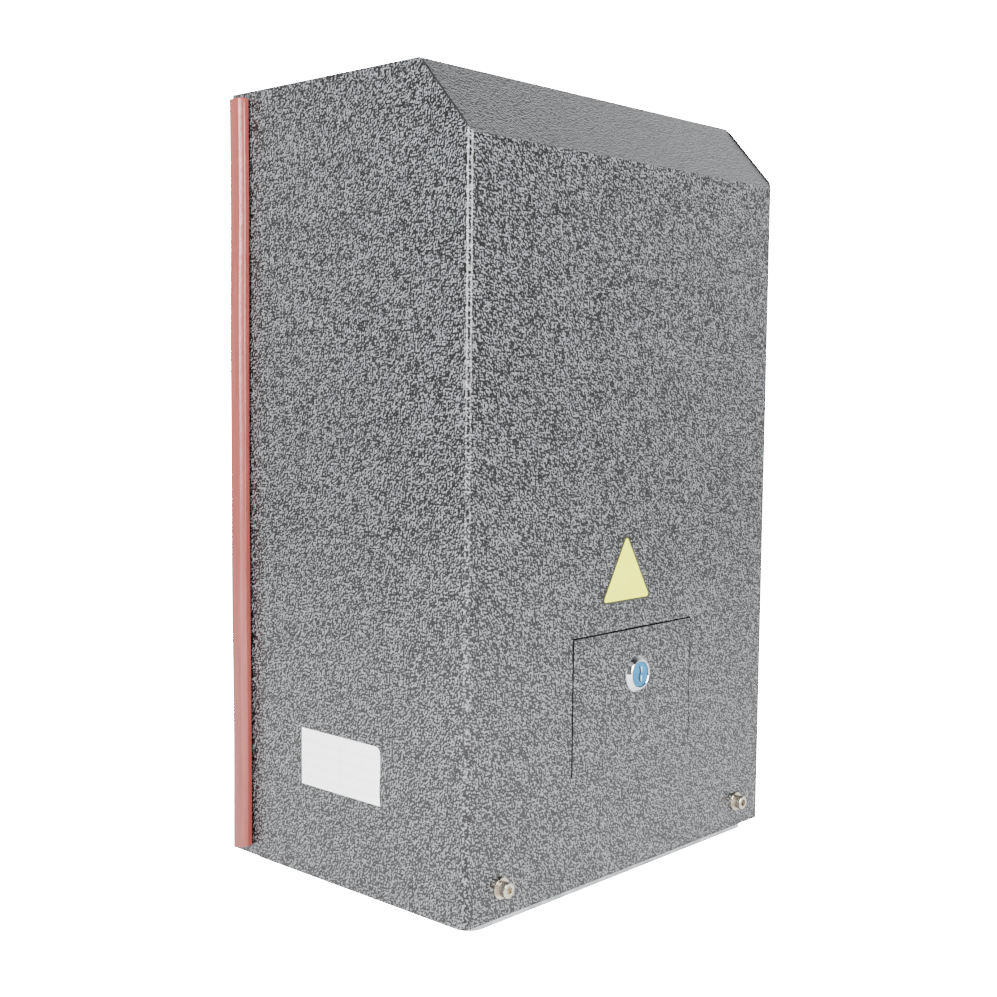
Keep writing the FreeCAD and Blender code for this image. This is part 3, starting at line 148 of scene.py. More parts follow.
def hammered_enamel(settings):
    """Hammer-finish stoving enamel: leafing aluminium in a dark binder draws into pale
    flakes between dark veins, under a glossy skin with a shallow orange peel. Painted shade:
    the sheet's cut edges and a hair line round the door are painted near black for the slit's
    shade."""
    material, tree, shader, place = start_material("hammered_enamel")
    # the difference of one noise at two near places keeps its ridges all one size
    apart = [settings.cell * 0.45] * 3
    beside = add(tree, "VectorMath", {"operation": "ADD"}, {0: place, 1: apart})
    ridges = [
        add(tree, "TexNoise", inputs={
            "Vector": spot, "Scale": 1 / settings.cell, "Detail": 0.0}).outputs["Fac"]
        for spot in (place, beside.outputs[0])
    ]
    flakes = add(tree, "Math", {"operation": "SUBTRACT"}, {0: ridges[0], 1: ridges[1]}).outputs[0]
    spread = add(tree, "MapRange", inputs={"Value": flakes, "From Min": -0.26, "From Max": 0.26})
    paint_film = add(tree, "ValToRGB", inputs={"Fac": spread.outputs["Result"]}, stops=[
        (0.2, settings.vein_hex), (0.9, settings.flake_hex), (0.5, settings.middle_hex)])

    # painted shade: the cut edges between the sheet's two skins, off the bends and no higher than
    # the metal that frames the door, are painted near black for the shade inside the door's slit
    skin_mm, bend_mm, frame_mm = 0.12, 6, 6
    skin = HOOD_LOW.y + skin_mm * MM
    back = HOOD_LOW.y + (HOOD_SHEET_MM - skin_mm) * MM
    bend = HOOD_HIGH.x - bend_mm * MM
    top = DOOR_HIGH.z + frame_mm * MM
    along = add(tree, "SeparateXYZ", inputs={"Vector": place}).outputs
    across = add(tree, "Math", {"operation": "ABSOLUTE"}, {0: along["X"]})
    shaded_cut_edge = add(tree, "Math", {"operation": "GREATER_THAN"}, {0: along["Y"], 1: skin})
    for value, limit in ((along["Y"], back), (across.outputs[0], bend), (along["Z"], top)):
        inside = add(tree, "Math", {"operation": "LESS_THAN"}, {0: value, 1: limit})
        shaded_cut_edge = add(tree, "Math", {"operation": "MULTIPLY"}, {
            0: shaded_cut_edge.outputs[0], 1: inside.outputs[0]})

    # painted shade: a near-black hair line round the door's top and sides, for the slit's shade
    hair_mm, foot_mm = 0.35, 14
    centre, half = (DOOR_LOW + DOOR_HIGH) / 2, (DOOR_HIGH - DOOR_LOW) / 2
    from_centre = add(tree, "VectorMath", {"operation": "SUBTRACT"}, {0: place, 1: centre})
    distance = add(tree, "VectorMath", {"operation": "ABSOLUTE"}, {0: from_centre.outputs[0]})
    past = add(tree, "VectorMath", {"operation": "SUBTRACT"}, {0: distance.outputs[0], 1: half})
    past = add(tree, "SeparateXYZ", inputs={"Vector": past.outputs[0]}).outputs
    outside = add(tree, "Math", {"operation": "MAXIMUM"}, {0: past["X"], 1: past["Z"]})
    off_line = add(tree, "Math", {"operation": "ABSOLUTE"}, {0: outside.outputs[0]})
    on_line = add(tree, "Math", {"operation": "LESS_THAN"}, {
        0: off_line.outputs[0], 1: hair_mm * MM})
    above_foot = add(tree, "Math", {"operation": "GREATER_THAN"}, {
        0: along["Z"], 1: DOOR_LOW.z + foot_mm * MM})
    hair = add(tree, "Math", {"operation": "MULTIPLY"}, {
        0: on_line.outputs[0], 1: above_foot.outputs[0]})

    # painted shade: the cut edges and the hair line take near black 050505 for the slit's shade
    slit_shade = add(tree, "Math", {"operation": "MAXIMUM"}, {0: shaded_cut_edge.outputs[0], 1: hair.outputs[0]})
    # a colour mix has its two colours at inputs 6 and 7, and its result at output 2
    film_with_shade = add(tree, "Mix", {"data_type": "RGBA"}, {
        "Factor": slit_shade.outputs[0], 6: paint_film.outputs["Color"], 7: linear("050505")})
    tree.links.new(film_with_shade.outputs[2], shader.inputs["Base Color"])
    gloss = add(tree, "MapRange", inputs={
        "Value": flakes, "From Min": -0.3, "From Max": 0.3, "To Min": 0.4, "To Max": 0.26})
    tree.links.new(gloss.outputs["Result"], shader.inputs["Roughness"])
    shader.inputs["Metallic"].default_value = 0.0
    shader.inputs["Specular IOR Level"].default_value = 0.1
    shader.inputs["Coat Weight"].default_value = 0.7
    shader.inputs["Coat Roughness"].default_value = 0.15
    peel = add(tree, "Bump", inputs={
        "Height": flakes, "Distance": settings.peel, "Strength": 1.0})
    for socket in ("Normal", "Coat Normal"):
        tree.links.new(peel.outputs["Normal"], shader.inputs[socket])
    return material


def extruded_pvc():
    """Soft extruded PVC: a dull brick red with streaks along its length, a waxy sheen and
    the faint beading that a worn die leaves."""
    material, tree, shader, place = start_material("extruded_pvc")
    drawn_out = (1, 1, 0.06)
    drawn = add(tree, "Mapping", inputs={"Vector": place, "Scale": drawn_out}).outputs["Vector"]
    streaks = add(tree, "TexNoise", inputs={
        "Vector": drawn, "Scale": per_metre(2.5), "Detail": 4.0}).outputs["Fac"]
    colour = add(tree, "ValToRGB", inputs={"Fac": streaks}, stops=[
        (0.3, "6e2f29"), (0.7, "7c3a33")])
    tree.links.new(colour.outputs["Color"], shader.inputs["Base Color"])
    shader.inputs["Roughness"].default_value = 0.24
    shader.inputs["Coat Weight"].default_value = 0.15
    shader.inputs["Coat Roughness"].default_value = 0.15
    beads = add(tree, "TexNoise", inputs={"Vector": place, "Scale": per_metre(3.0), "Detail": 1.5})
    skin = add(tree, "Bump", inputs={"Height": beads.outputs["Fac"], "Distance": 0.18 * MM})
    tree.links.new(skin.outputs["Normal"], shader.inputs["Normal"])
    return material


def galvanised_steel():
    """Hot-dip zinc: pale spangles just under a centimetre across, each of its own grey."""
    material, tree, shader, place = start_material("galvanised_steel")
    spangle = add(tree, "TexVoronoi", inputs={"Vector": place, "Scale": per_metre(9)})
    grey = add(tree, "SeparateColor", inputs={"Color": spangle.outputs["Color"]}).outputs["Red"]
    colour = add(tree, "ValToRGB", inputs={"Fac": grey}, stops=[(0.0, "9ea3a6"), (1.0, "c4c8ca")])
    gloss = add(tree, "MapRange", inputs={"Value": grey, "To Min": 0.32, "To Max": 0.5})
    tree.links.new(colour.outputs["Color"], shader.inputs["Base Color"])
    tree.links.new(gloss.outputs["Result"], shader.inputs["Roughness"])
    shader.inputs["Metallic"].default_value = 0.85
    return material


def opal_acrylic():
    """The table: opal acrylic lit from below, matt and nearly white, clouded very slightly."""
    material, tree, shader, place = start_material("opal_acrylic")
    cloud = add(tree, "TexNoise", inputs={"Vector": place, "Scale": 1.5, "Detail": 1.0})
    colour = add(tree, "ValToRGB", inputs={"Fac": cloud.outputs["Fac"]}, stops=[
        (0.3, "eeeeee"), (0.7, "f2f2f2")])
    tree.links.new(colour.outputs["Color"], shader.inputs["Base Color"])
    shader.inputs["Roughness"].default_value = 0.9
    shader.inputs["Emission Color"].default_value = (1, 1, 1, 1)
    seen = add(tree, "LightPath").outputs["Is Camera Ray"]
    glow = add(tree, "MapRange", inputs={
        "Value": seen, "To Min": TABLE_BOUNCE, "To Max": TABLE_GLOW})
    tree.links.new(glow.outputs["Result"], shader.inputs["Emission Strength"])
    return material


# A grain's scale along X, Y and Z: below 1 it is drawn out along that axis.
ALONG_X, ALONG_Z, LAYERED, PLAIN = (0.1, 1, 1), (1, 1, 0.05), (0.1, 0.1, 1), (1, 1, 1)
# Finishes of the pieces that come from the frame: the material's name, its two colours, grain
# in mm, roughness, metallic, relief in mm and stretch, then the nodes that wear it. Tool lines
# and the edges of punchings are coarser than real ones, so that they show.
FINISHES = {
    # sand-cast and blasted: matt pale grey with a pebbled skin
    "cast_aluminium": (
        ("5f6264", "808486"), 1.6, (0.48, 0.66), 0.8, 0.12, PLAIN,
        ("gearbox_housing", "gearbox_cover", "motor_flange", "motor_endbell")),
    # drawn through a die: cleaner than the castings, with lines along the fins
    "extruded_aluminium": (
        ("787b7e", "969a9d"), 1.0, (0.3, 0.45), 1.0, 0.01, ALONG_Z, ("stator_housing",)),
    # bright zinc plate over folded sheet: cloudy, faintly blue and yellow
    "zinc_plated_steel": (
        ("82888e", "a3a49c"), 18, (0.26, 0.42), 0.95, 0.0, PLAIN,
        ("cover_brackets", "cover_weld_nuts", "board_bracket", "limit_switch_bracket",
         "capacitor_clip", "motor_tie_bolts", "oil_plug", "pinion_bolt", "lock_nut", "lock_cam")),
    # milled and hobbed steel under oil: dark with fine tool lines
    "machined_steel": (
        ("3e4144", "65686b"), 0.8, (0.24, 0.38), 1.0, 0.01, ALONG_X,
        ("output_pinion", "worm_wheel_hub", "clutch_sleeve", "release_bush", "release_cam")),
    # ground journals: bright and even
    "ground_steel": (
        ("6b6e71", "8d9093"), 0.8, (0.16, 0.3), 1.0, 0.005, ALONG_X,
        ("output_shaft", "pinion_key", "worm_shaft", "clutch_pin", "push_rod", "front_bearing",
         "rear_bearing", "upright_bearings")),
    # cold-headed A2 stainless: warm and bright
    "stainless_steel": (
        ("aaa192", "d0c9ba"), 0.6, (0.2, 0.34), 1.0, 0.01, ALONG_X,
        ("cover_screws", "cover_washers", "gearbox_cover_screws", "gearbox_foot_bolts",
         "lever_screw", "board_standoffs")),
    # turned and hobbed bronze: yellow-brown with tool lines
    "gear_bronze": (
        ("7c5828", "a17a40"), 0.8, (0.24, 0.4), 1.0, 0.01, ALONG_X, ("worm_wheel_rim",)),
    # stacked punchings: fine dark lines across the stack
    "electrical_steel": (
        ("2e3033", "4a4c50"), 0.5, (0.35, 0.5), 0.9, 0.03, LAYERED,
        ("stator_core", "rotor_core", "transformer")),
    # varnished magnet wire: red-brown, glossy in the hollows
    "enamelled_copper": (
        ("5c2410", "8f4420"), 0.9, (0.25, 0.4), 0.5, 0.15, PLAIN, ("stator_winding",)),
    # blued spring strip: blue-black
    "spring_steel": (
        ("3c3f43", "5f6265"), 0.8, (0.25, 0.4), 1.0, 0.01, ALONG_X, ("limit_feeler",)),
    # moulded nitrile: matt black with a dry bloom
    "nitrile_rubber": (
        ("080808", "101011"), 2.0, (0.6, 0.75), 0.0, 0.03, PLAIN, ("cable_grommet", "output_seal")),
    # moulded glass-filled polyamide: black with a fine spark-eroded grain
    "moulded_polyamide": (
        ("0c0d0e", "141518"), 0.9, (0.42, 0.56), 0.0, 0.03, PLAIN,
        ("fan_cowl", "cooling_fan", "terminal_box", "limit_switch", "relays")),
    # solder mask over glass laminate: glossy green, a trace of weave
    "solder_mask": (
        ("08311a", "0c4322"), 1.2, (0.2, 0.32), 0.0, 0.01, PLAIN, ("control_board",)),
    # moulded polyamide: even green with a satin skin
    "moulded_terminal_green": (
        ("12562a", "186834"), 2, (0.4, 0.5), 0.0, 0.01, PLAIN, ("terminal_blocks",)),
    # moulded polypropylene can: off-white, waxy
    "moulded_polypropylene": (
        ("b4b4ae", "c6c6c0"), 8, (0.35, 0.45), 0.0, 0.01, PLAIN, ("run_capacitor",)),
    # powder coat on a die casting: even red with fine orange peel
    "powder_coated_red": (
        ("7c120b", "8e1a12"), 1.4, (0.3, 0.42), 0.0, 0.04, PLAIN, ("release_lever",)),
    # soft-touch moulded grip: orange, satin
    "moulded_orange": (
        ("a8480f", "b85516"), 1.2, (0.42, 0.52), 0.0, 0.02, PLAIN, ("release_grip",)),
}


# ---------------------------------------------------------------- mesh helpers

def new_piece(name, mesh, material, body, smooth_degrees=None):
    """Link a mesh as a piece that rides on a body and belongs to a material slot."""
    piece = bpy.data.objects.new(name, mesh)
    bpy.context.scene.collection.objects.link(piece)
    piece.data.materials.append(material)
    if smooth_degrees is not None:
        for face in mesh.polygons:
            face.use_smooth = True
        mesh.set_sharp_from_angle(angle=math.radians(smooth_degrees))
    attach(piece, body)
    return piece


def mesh_from(name, build):
    """A mesh filled by a function that is given an empty bmesh."""
    mesh = bpy.data.meshes.new(name)
    edit = bmesh.new()
    build(edit)
    bmesh.ops.remove_doubles(edit, verts=edit.verts, dist=1e-7)
    bmesh.ops.recalc_face_normals(edit, faces=edit.faces)
    edit.to_mesh(mesh)
    edit.free()
    return mesh


def join_rings(edit, rings):
    """Faces between rings of equally many points, with both ends closed."""
    for near, far in zip(rings, rings[1:]):
        for i in range(len(near)):
            j = (i + 1) % len(near)
            edit.faces.new([near[i], near[j], far[j], far[i]])
    edit.faces.new(rings[0][::-1])
    edit.faces.new(rings[-1])


def round_bar(name, stations, sides):
    """A round bar through stations, each of them a centre and two radii across the bar."""
    angles = [math.tau * i / sides for i in range(sides)]

    def build(edit):
        join_rings(edit, [
            [edit.verts.new(centre + math.cos(angle) * one + math.sin(angle) * other)
             for angle in angles]
            for centre, one, other in stations
        ])
    return mesh_from(name, build)


def lathe(name, profile, x, z, segments=72):
    """A solid turned about a line along Y; profile lists (y, radius)."""
    def build(edit):
        rings = []
        for y, radius in profile:
            if radius == 0:
                rings.append([edit.verts.new((x, y, z))])
                continue
            rings.append([
                edit.verts.new((x + radius * math.cos(math.tau * i / segments), y,
                                z + radius * math.sin(math.tau * i / segments)))
                for i in range(segments)
            ])
        for near, far in zip(rings, rings[1:]):
            for i in range(segments):
                j = (i + 1) % segments
                corners = [near[i % len(near)], near[j % len(near)],
                           far[j % len(far)], far[i % len(far)]]
                unique = list(dict.fromkeys(corners))
                if len(unique) > 2:
                    edit.faces.new(unique)
    return mesh_from(name, build)


def slab(name, outline, low, high, to_space):
    """A flat outline given thickness; to_space(u, v, depth) places each point."""
    def build(edit):
        near = [edit.verts.new(to_space(u, v, low)) for u, v in outline]
        far = [edit.verts.new(to_space(u, v, high)) for u, v in outline]
        edit.faces.new(near)
        edit.faces.new(far[::-1])
        for i in range(len(outline)):
            j = (i + 1) % len(outline)
            edit.faces.new([near[i], far[i], far[j], near[j]])
    return mesh_from(name, build)


def rounded(corners, radius, steps=6):
    """The outline of a polygon with every corner turned by an arc."""
    count = len(corners)
    points = []
    for i in range(count):
        here = Vector(corners[i])
        back = (Vector(corners[i - 1]) - here).normalized()
        ahead = (Vector(corners[(i + 1) % count]) - here).normalized()
        half = back.angle(ahead) / 2
        reach = radius / math.tan(half)
        centre = here + (back + ahead).normalized() * (radius / math.sin(half))
        start = here + back * reach - centre
        end = here + ahead * reach - centre
        for step in range(steps + 1):
            spot = start.lerp(end, step / steps)
            points.append(tuple(centre + spot.normalized() * radius))
    return points


# ---------------------------------------------------------------- settings

class HoodSettings(bpy.types.PropertyGroup):
    """Sizes and colours of the hood's finish."""
    cell: bpy.props.FloatProperty(
        name="Cell", description="Width of one cell of the hammer finish",
        default=0.0013, unit="LENGTH")
    peel: bpy.props.FloatProperty(
        name="Peel", description="Depth of the orange peel", default=0.00012, unit="LENGTH")
    vein_hex: bpy.props.StringProperty(
        name="Vein colour", description="Colour of the dark veins, sRGB hex", default="010102")
    middle_hex: bpy.props.StringProperty(
        name="Middle colour", description="Colour between vein and flake, sRGB hex",
        default="0e0f10")
    flake_hex: bpy.props.StringProperty(
        name="Flake colour", description="Colour of the pale flakes, sRGB hex", default="6c6e71")
    seam: bpy.props.FloatProperty(
        name="Weld line", description="Radius of the dark weld line at the ends of the slope",
        default=0.0006, unit="LENGTH")


class StripSettings(bpy.types.PropertyGroup):
    """Shape of the trim strips."""
    bow: bpy.props.FloatProperty(
        name="Bow", description="How far the strip wanders from a straight line",
        default=0.0008, unit="LENGTH")
    edge: bpy.props.FloatProperty(
        name="Edge radius", description="Rounding of the strip's corners",
        default=0.0011, unit="LENGTH")


class StickerSettings(bpy.types.PropertyGroup):
    """Sizes of the two bare stickers."""
    thickness: bpy.props.FloatProperty(
        name="Thickness", description="How far a sticker stands off the paint",
        default=0.0002, unit="LENGTH")
    border: bpy.props.FloatProperty(
        name="Border", description="Width of the triangle's dark border",
        default=0.0014, unit="LENGTH")


class SpringSettings(bpy.types.PropertyGroup):
    """Sizes of the clutch spring."""
    wire: bpy.props.FloatProperty(
        name="Wire", description="Radius of the spring wire", default=0.0015, unit="LENGTH")
    turns: bpy.props.IntProperty(name="Turns", description="Number of coils", default=3)


class StageSettings(bpy.types.PropertyGroup):
    """The camera and the studio."""
    stand: bpy.props.FloatVectorProperty(
        name="Stand", description="Camera position from the hood's lower front left corner",
        default=(-0.62894, -0.60539, 0.34295), size=3, unit="LENGTH")
    lens: bpy.props.FloatProperty(
        name="Lens", description="Focal length on a 36 mm sensor", default=52.04, unit="CAMERA")
    heading: bpy.props.FloatProperty(
        name="Heading", description="Turn of the view from the gate direction",
        default=math.radians(47.324), subtype="ANGLE")
    tilt: bpy.props.FloatProperty(
        name="Tilt", description="How far the view looks down",
        default=math.radians(4.706), subtype="ANGLE")
    roll: bpy.props.FloatProperty(
        name="Roll", description="Roll of the camera about its view",
        default=math.radians(0.526), subtype="ANGLE")
    key: bpy.props.FloatProperty(
        name="Softbox power", description="Power of each softbox in watts", default=80.0)
    room: bpy.props.FloatProperty(
        name="Room light", description="Strength of the light from the white room", default=2.0)
    dark_share: bpy.props.FloatProperty(
        name="Dark side", description="Share of the room light on the camera's side",
        default=0.12, subtype="FACTOR")
    ceiling: bpy.props.FloatProperty(
        name="Ceiling", description="Share of the room light that comes from overhead",
        default=0.2, subtype="FACTOR")
    backdrop: bpy.props.FloatProperty(
        name="Backdrop", description="Brightness of the backdrop", default=40.0)


# ---------------------------------------------------------------- operators

def paint(names, material):
    """Give CAD nodes one material."""
    for name in names:
        slots = NODES[name].data.materials
        slots.clear()
        slots.append(material)


class GATE_OT_hood(bpy.types.Operator):
    """Paint the hood and the release door, and draw the weld lines of the slope"""
    bl_idname = "gate.hood"
    bl_label = "Hood and door"
    bl_options = {"REGISTER", "UNDO"}

    def execute(self, context):
        settings = context.scene.gate_hood
        paint(("cover", "release_door"), hammered_enamel(settings))
        # the same enamel run thin over a weld: nearly black and glossy
        weld_enamel = grained("weld_enamel", ("0a0a0b", "161718"), 3, (0.3, 0.45), 0.1)
        slope_top = Vector((0, HOOD_LOW.y + 0.044, HOOD_HIGH.z))
        slope_foot = Vector((0, HOOD_LOW.y, HOOD_HIGH.z - 0.049))
        run = (slope_foot - slope_top).normalized()
        normal = Vector((0, -run.z, run.y)).normalized()
        sunk = normal * settings.seam * 0.8
        # share of the way down the slope and of the full thickness: it runs out before the corners
        tapers = ((0.03, 0.3), (0.1, 1), (0.9, 1), (0.975, 0.3))
        for side, x in (("left", HOOD_LOW.x), ("right", HOOD_HIGH.x)):
            inward = settings.seam * 0.85 * (1 if x < 0 else -1)
            stations = []
            for share, thick in tapers:
                spot = slope_top.lerp(slope_foot, share)
                radius = settings.seam * thick
                centre = Vector((x + inward, spot.y, spot.z)) - sunk
                stations.append((centre, radius * Vector((1, 0, 0)), radius * normal))
            name = f"hood_weld_{side}"
            new_piece(name, round_bar(name, stations, 10), weld_enamel, "chassis",
                      60)
        return {"FINISHED"}


class GATE_OT_strips(bpy.types.Operator):
    """Model the two bowed trim strips on the rear edges of the sides"""
    bl_idname = "gate.strips"
    bl_label = "Trim strips"
    bl_options = {"REGISTER", "UNDO"}

    def execute(self, context):
        settings = context.scene.gate_strip
        pvc = extruded_pvc()
        depth = STRIP_HIGH.x - STRIP_LOW.x
        width = STRIP_HIGH.y - STRIP_LOW.y
        tall = STRIP_HIGH.z - STRIP_LOW.z
        # the profile's points are (out from the wall, back from the strip's front edge)
        nose, root, groove = 0.003, 0.0015, 0.006
        section = [
            (0, groove), (root, groove), (root, 0), (depth - nose, 0), (depth, nose),
            (depth, width - nose), (depth - nose, width), (0, width),
        ]
        steps = 48
        # the foot is cut aslant: highest at the front edge, level at the full width
        slant, full_width = 0.004, 0.0157
        # waves along the strip, in radians over its length, and how far it thins in them
        wander_wave, thin_wave, thinning = 5.1, 9.0, 0.05
        for side, sign in (("left", -1), ("right", 1)):
            wall = HOOD_HIGH.x * sign

            def build(edit):
                rings = []
                for i in range(steps + 1):
                    share = i / steps
                    wander = (settings.bow * math.sin(share * wander_wave + sign)
                              * math.sin(share * math.pi))
                    squeeze = 1 - thinning * math.sin(share * thin_wave) ** 2
                    ring = []
                    for out, back in section:
                        lift = slant * (1 - share) ** 12 * (1 - back / full_width)
                        x = wall + sign * out * (squeeze if out > root else 1)
                        z = STRIP_LOW.z + tall * share + lift
                        ring.append(edit.verts.new((x, STRIP_LOW.y + back + wander, z)))
                    rings.append(ring)
                join_rings(edit, rings)

            name = f"strip_{side}"
            piece = new_piece(name, mesh_from(name, build), pvc, "chassis", 50)
            soft = piece.modifiers.new("Soft corners", "BEVEL")
            soft.width = settings.edge
            soft.segments = 3
            soft.limit_method = "ANGLE"
            soft.angle_limit = math.radians(25)
            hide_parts(f"trim_strip_{side}")
        return {"FINISHED"}


class GATE_OT_lock(bpy.types.Operator):
    """Model the cam lock: chromed bezel, blue dial, a near-black key slot of painted shade and pale
    bars of painted highlight beside it
    """
    bl_idname = "gate.lock"
    bl_label = "Cam lock"
    bl_options = {"REGISTER", "UNDO"}

    def execute(self, context):
        # chromed die casting: a mirror skin, a little dulled by handling
        chrome = grained("chromed_zinc", ("d4d7da", "eceef0"), 6, (0.06, 0.14), 1.0)
        # moulded ABS: saturated blue with a soft gloss
        blue = grained("moulded_abs_blue", ("00567c", "006690"), 2, (0.28, 0.36), 0.0, 0.01)
        # the same plastic where the moulded ribs thin it: pale cyan
        # painted highlight: pale cyan bars beside the key slot, where the dial's gloss catches
        # light
        highlight_cyan = grained("painted_highlight_cyan", ("7fc6d8", "93d4e4"), 2, (0.3, 0.4))
        # painted shade: the keyway is a near-black sheet, for the shade deep in the slot
        keyway_shade = grained("painted_keyway_shade", ("04080b", "080e12"), 2, (0.5, 0.6))
        # profiles list (y, radius), from the bezel's face back to the barrel's end
        face, front, end = BARREL_LOW.y, HOOD_LOW.y, BARREL_HIGH.y
        seat = face + 0.0022
        shank, bore = 0.0096, 0.0072
        profile = [
            (seat, 0.0091), (face + 0.0003, 0.0092), (face, 0.0096), (face, 0.0103),
            (face + 0.0004, 0.0109), (face + 0.0012, 0.0115), (face + 0.0024, 0.0126),
            (front - 0.0006, 0.01295), (front, 0.013), (front, shank), (end, shank),
            (end, bore), (seat, bore), (seat, 0.0091),
        ]
        bezel = new_piece("lock_bezel", lathe("lock_bezel", profile, LOCK_X, LOCK_Z), chrome,
                          "door", 35)
        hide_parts("lock_barrel")
        # the dial has a raised rim round a sunk middle
        rim = face + 0.0006
        level = rim + 0.0003
        shoulder, tip = face + 0.0021, end + 0.0002
        stem, skirt = 0.0068, 0.0089
        dial = [
            (tip, 0), (tip, stem), (shoulder, stem), (shoulder, skirt),
            (level, skirt), (rim, 0.0086), (rim, 0.0078), (level, 0.0075), (level, 0),
        ]
        plug = new_piece("lock_dial", lathe("lock_dial", dial, LOCK_X, LOCK_Z), blue,
                         "lock", 35)
        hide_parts("lock_plug")

        def on_dial(u, v, depth):
            return (LOCK_X + u, depth, LOCK_Z + v)

        behind = level + 0.0002
        # the keyway waves from side to side and closes at both ends
        half_width, half_tall, wave, bends, steps = 0.0008, 0.0058, 0.0007, 1.3, 24
        least = 1e-5
        right, left = [], []
        for i in range(steps + 1):
            v = -half_tall + 2 * half_tall * i / steps
            shift = wave * math.sin(v / half_tall * math.pi * bends)
            pinch = math.sqrt(max(0.0, 1 - (v / half_tall) ** 6))
            right.append((shift + half_width * pinch + least, v))
            left.append((shift - half_width * pinch - least, v))
        # painted shade: a near-black keyway sheet where the slot's shade falls
        keyway = slab("lock_key_slot", right + left[::-1], level - 0.00012, behind, on_dial)
        new_piece("lock_key_slot", keyway, keyway_shade, "lock")
        # painted highlight: two pale cyan bars beside the key slot
        near, far = 0.0012, 0.0025
        for place, low, high in (("upper", 0.0012, 0.0052), ("lower", -0.0052, -0.0012)):
            bar = rounded([(near, low), (far, low), (far, high), (near, high)], 0.0004, 4)
            name = f"lock_highlight_{place}"
            new_piece(name, slab(name, bar, level - 0.0001, behind, on_dial), highlight_cyan,
                      "lock")
        return {"FINISHED"}


class GATE_OT_stickers(bpy.types.Operator):
    """Lay the bare yellow triangle on the front and the bare white plate on the left side"""
    bl_idname = "gate.stickers"
    bl_label = "Stickers"
    bl_options = {"REGISTER", "UNDO"}

    def execute(self, context):
        settings = context.scene.gate_sticker
        thick = settings.thickness
        # printed vinyl film: even colour, satin, with the faint ripple of a stuck-down film
        film = {"grain_mm": 14, "rough": (0.36, 0.46), "relief_mm": 0.02, "detail": 1.0}
        yellow = grained("printed_vinyl_yellow", ("dee600", "e6ee00"), **film)
        dark = grained("printed_vinyl_dark", ("14150a", "1b1c0e"), **film)
        white = grained("printed_vinyl_white", ("f2f3f4", "f6f7f8"), **film)
        grey = grained("printed_vinyl_grey", ("d2d6d9", "dadee0"), **film)

        def on_front(u, v, depth):
            return (u, HOOD_LOW.y - depth, v)

        def on_left(u, v, depth):
            return (HOOD_LOW.x - depth, u, v)

        def stick(name, outline, low, high, to_space, vinyl):
            new_piece(name, slab(name, outline, low, high, to_space), vinyl, "chassis")

        # the triangle's corners on the front, as (x, z)
        corners = [(-0.0358, 0.1968), (0.0204, 0.1968), (-0.0083, 0.2452)]
        middle = sum((Vector(c) for c in corners), Vector((0, 0))) / 3
        shrink = 1 - settings.border * 2 / (middle - Vector(corners[2])).length
        inner = [tuple(middle + (Vector(c) - middle) * shrink) for c in corners]
        stick("triangle_border", rounded(corners, 0.0024), 0, thick, on_front, dark)
        stick("triangle_face", rounded(inner, 0.0017), thick * 0.5, thick * 1.4, on_front, yellow)

        # the plate's two far corners on the side, as (y, z); its upper front corner is round,
        # and the edge below that was cut in a slight wave
        low, high = Vector((-0.0390, 0.0694)), Vector((0.0400, 0.1086))
        turn, cut_from, wave, cut_steps = 0.004, 0.005, 0.0004, 14
        outline = [(high.x, low.y), (high.x, high.y)]
        for degrees in range(0, 100, 10):
            angle = math.radians(degrees)
            outline.append((low.x + turn * (1 - math.sin(angle)),
                            high.y - turn * (1 - math.cos(angle))))
        for i in range(cut_steps + 1):
            share = i / cut_steps
            v = high.y - cut_from - (high.y - cut_from - low.y) * share
            outline.append((low.x - wave * math.sin(share * 7), v))
        stick("rating_plate", outline, 0, thick, on_left, white)

        # five faint rules, which cut the bare plate into a table
        margin, first, pitch, half = 0.002, 0.0085, 0.0082, 0.00022
        start, end = low.x + margin, high.x - margin
        rules = []
        for i in range(4):
            v = high.y - first - pitch * i
            rules.append((f"rating_rule_{i + 1}", (start, v - half), (end, v + half)))
        rules.append(("rating_rule_upright", (0.0005, low.y + 0.003), (0.0009, high.y - 0.004)))
        for name, (u_low, v_low), (u_high, v_high) in rules:
            bar = [(u_low, v_low), (u_high, v_low), (u_high, v_high), (u_low, v_high)]
            stick(name, bar, thick * 0.5, thick * 1.2, on_left, grey)
        return {"FINISHED"}


class GATE_OT_plate(bpy.types.Operator):
    """Galvanise the anchor plate"""
    bl_idname = "gate.plate"
    bl_label = "Anchor plate"
    bl_options = {"REGISTER", "UNDO"}

    def execute(self, context):
        paint(("base_plate",), galvanised_steel())
        return {"FINISHED"}


class GATE_OT_machinery(bpy.types.Operator):
    """Finish the castings, the drive, the motor and the electronics"""
    bl_idname = "gate.machinery"
    bl_label = "Machinery"
    bl_options = {"REGISTER", "UNDO"}

    def execute(self, context):
        for name, (*finish, nodes) in FINISHES.items():
            paint(nodes, grained(name, *finish))
        return {"FINISHED"}


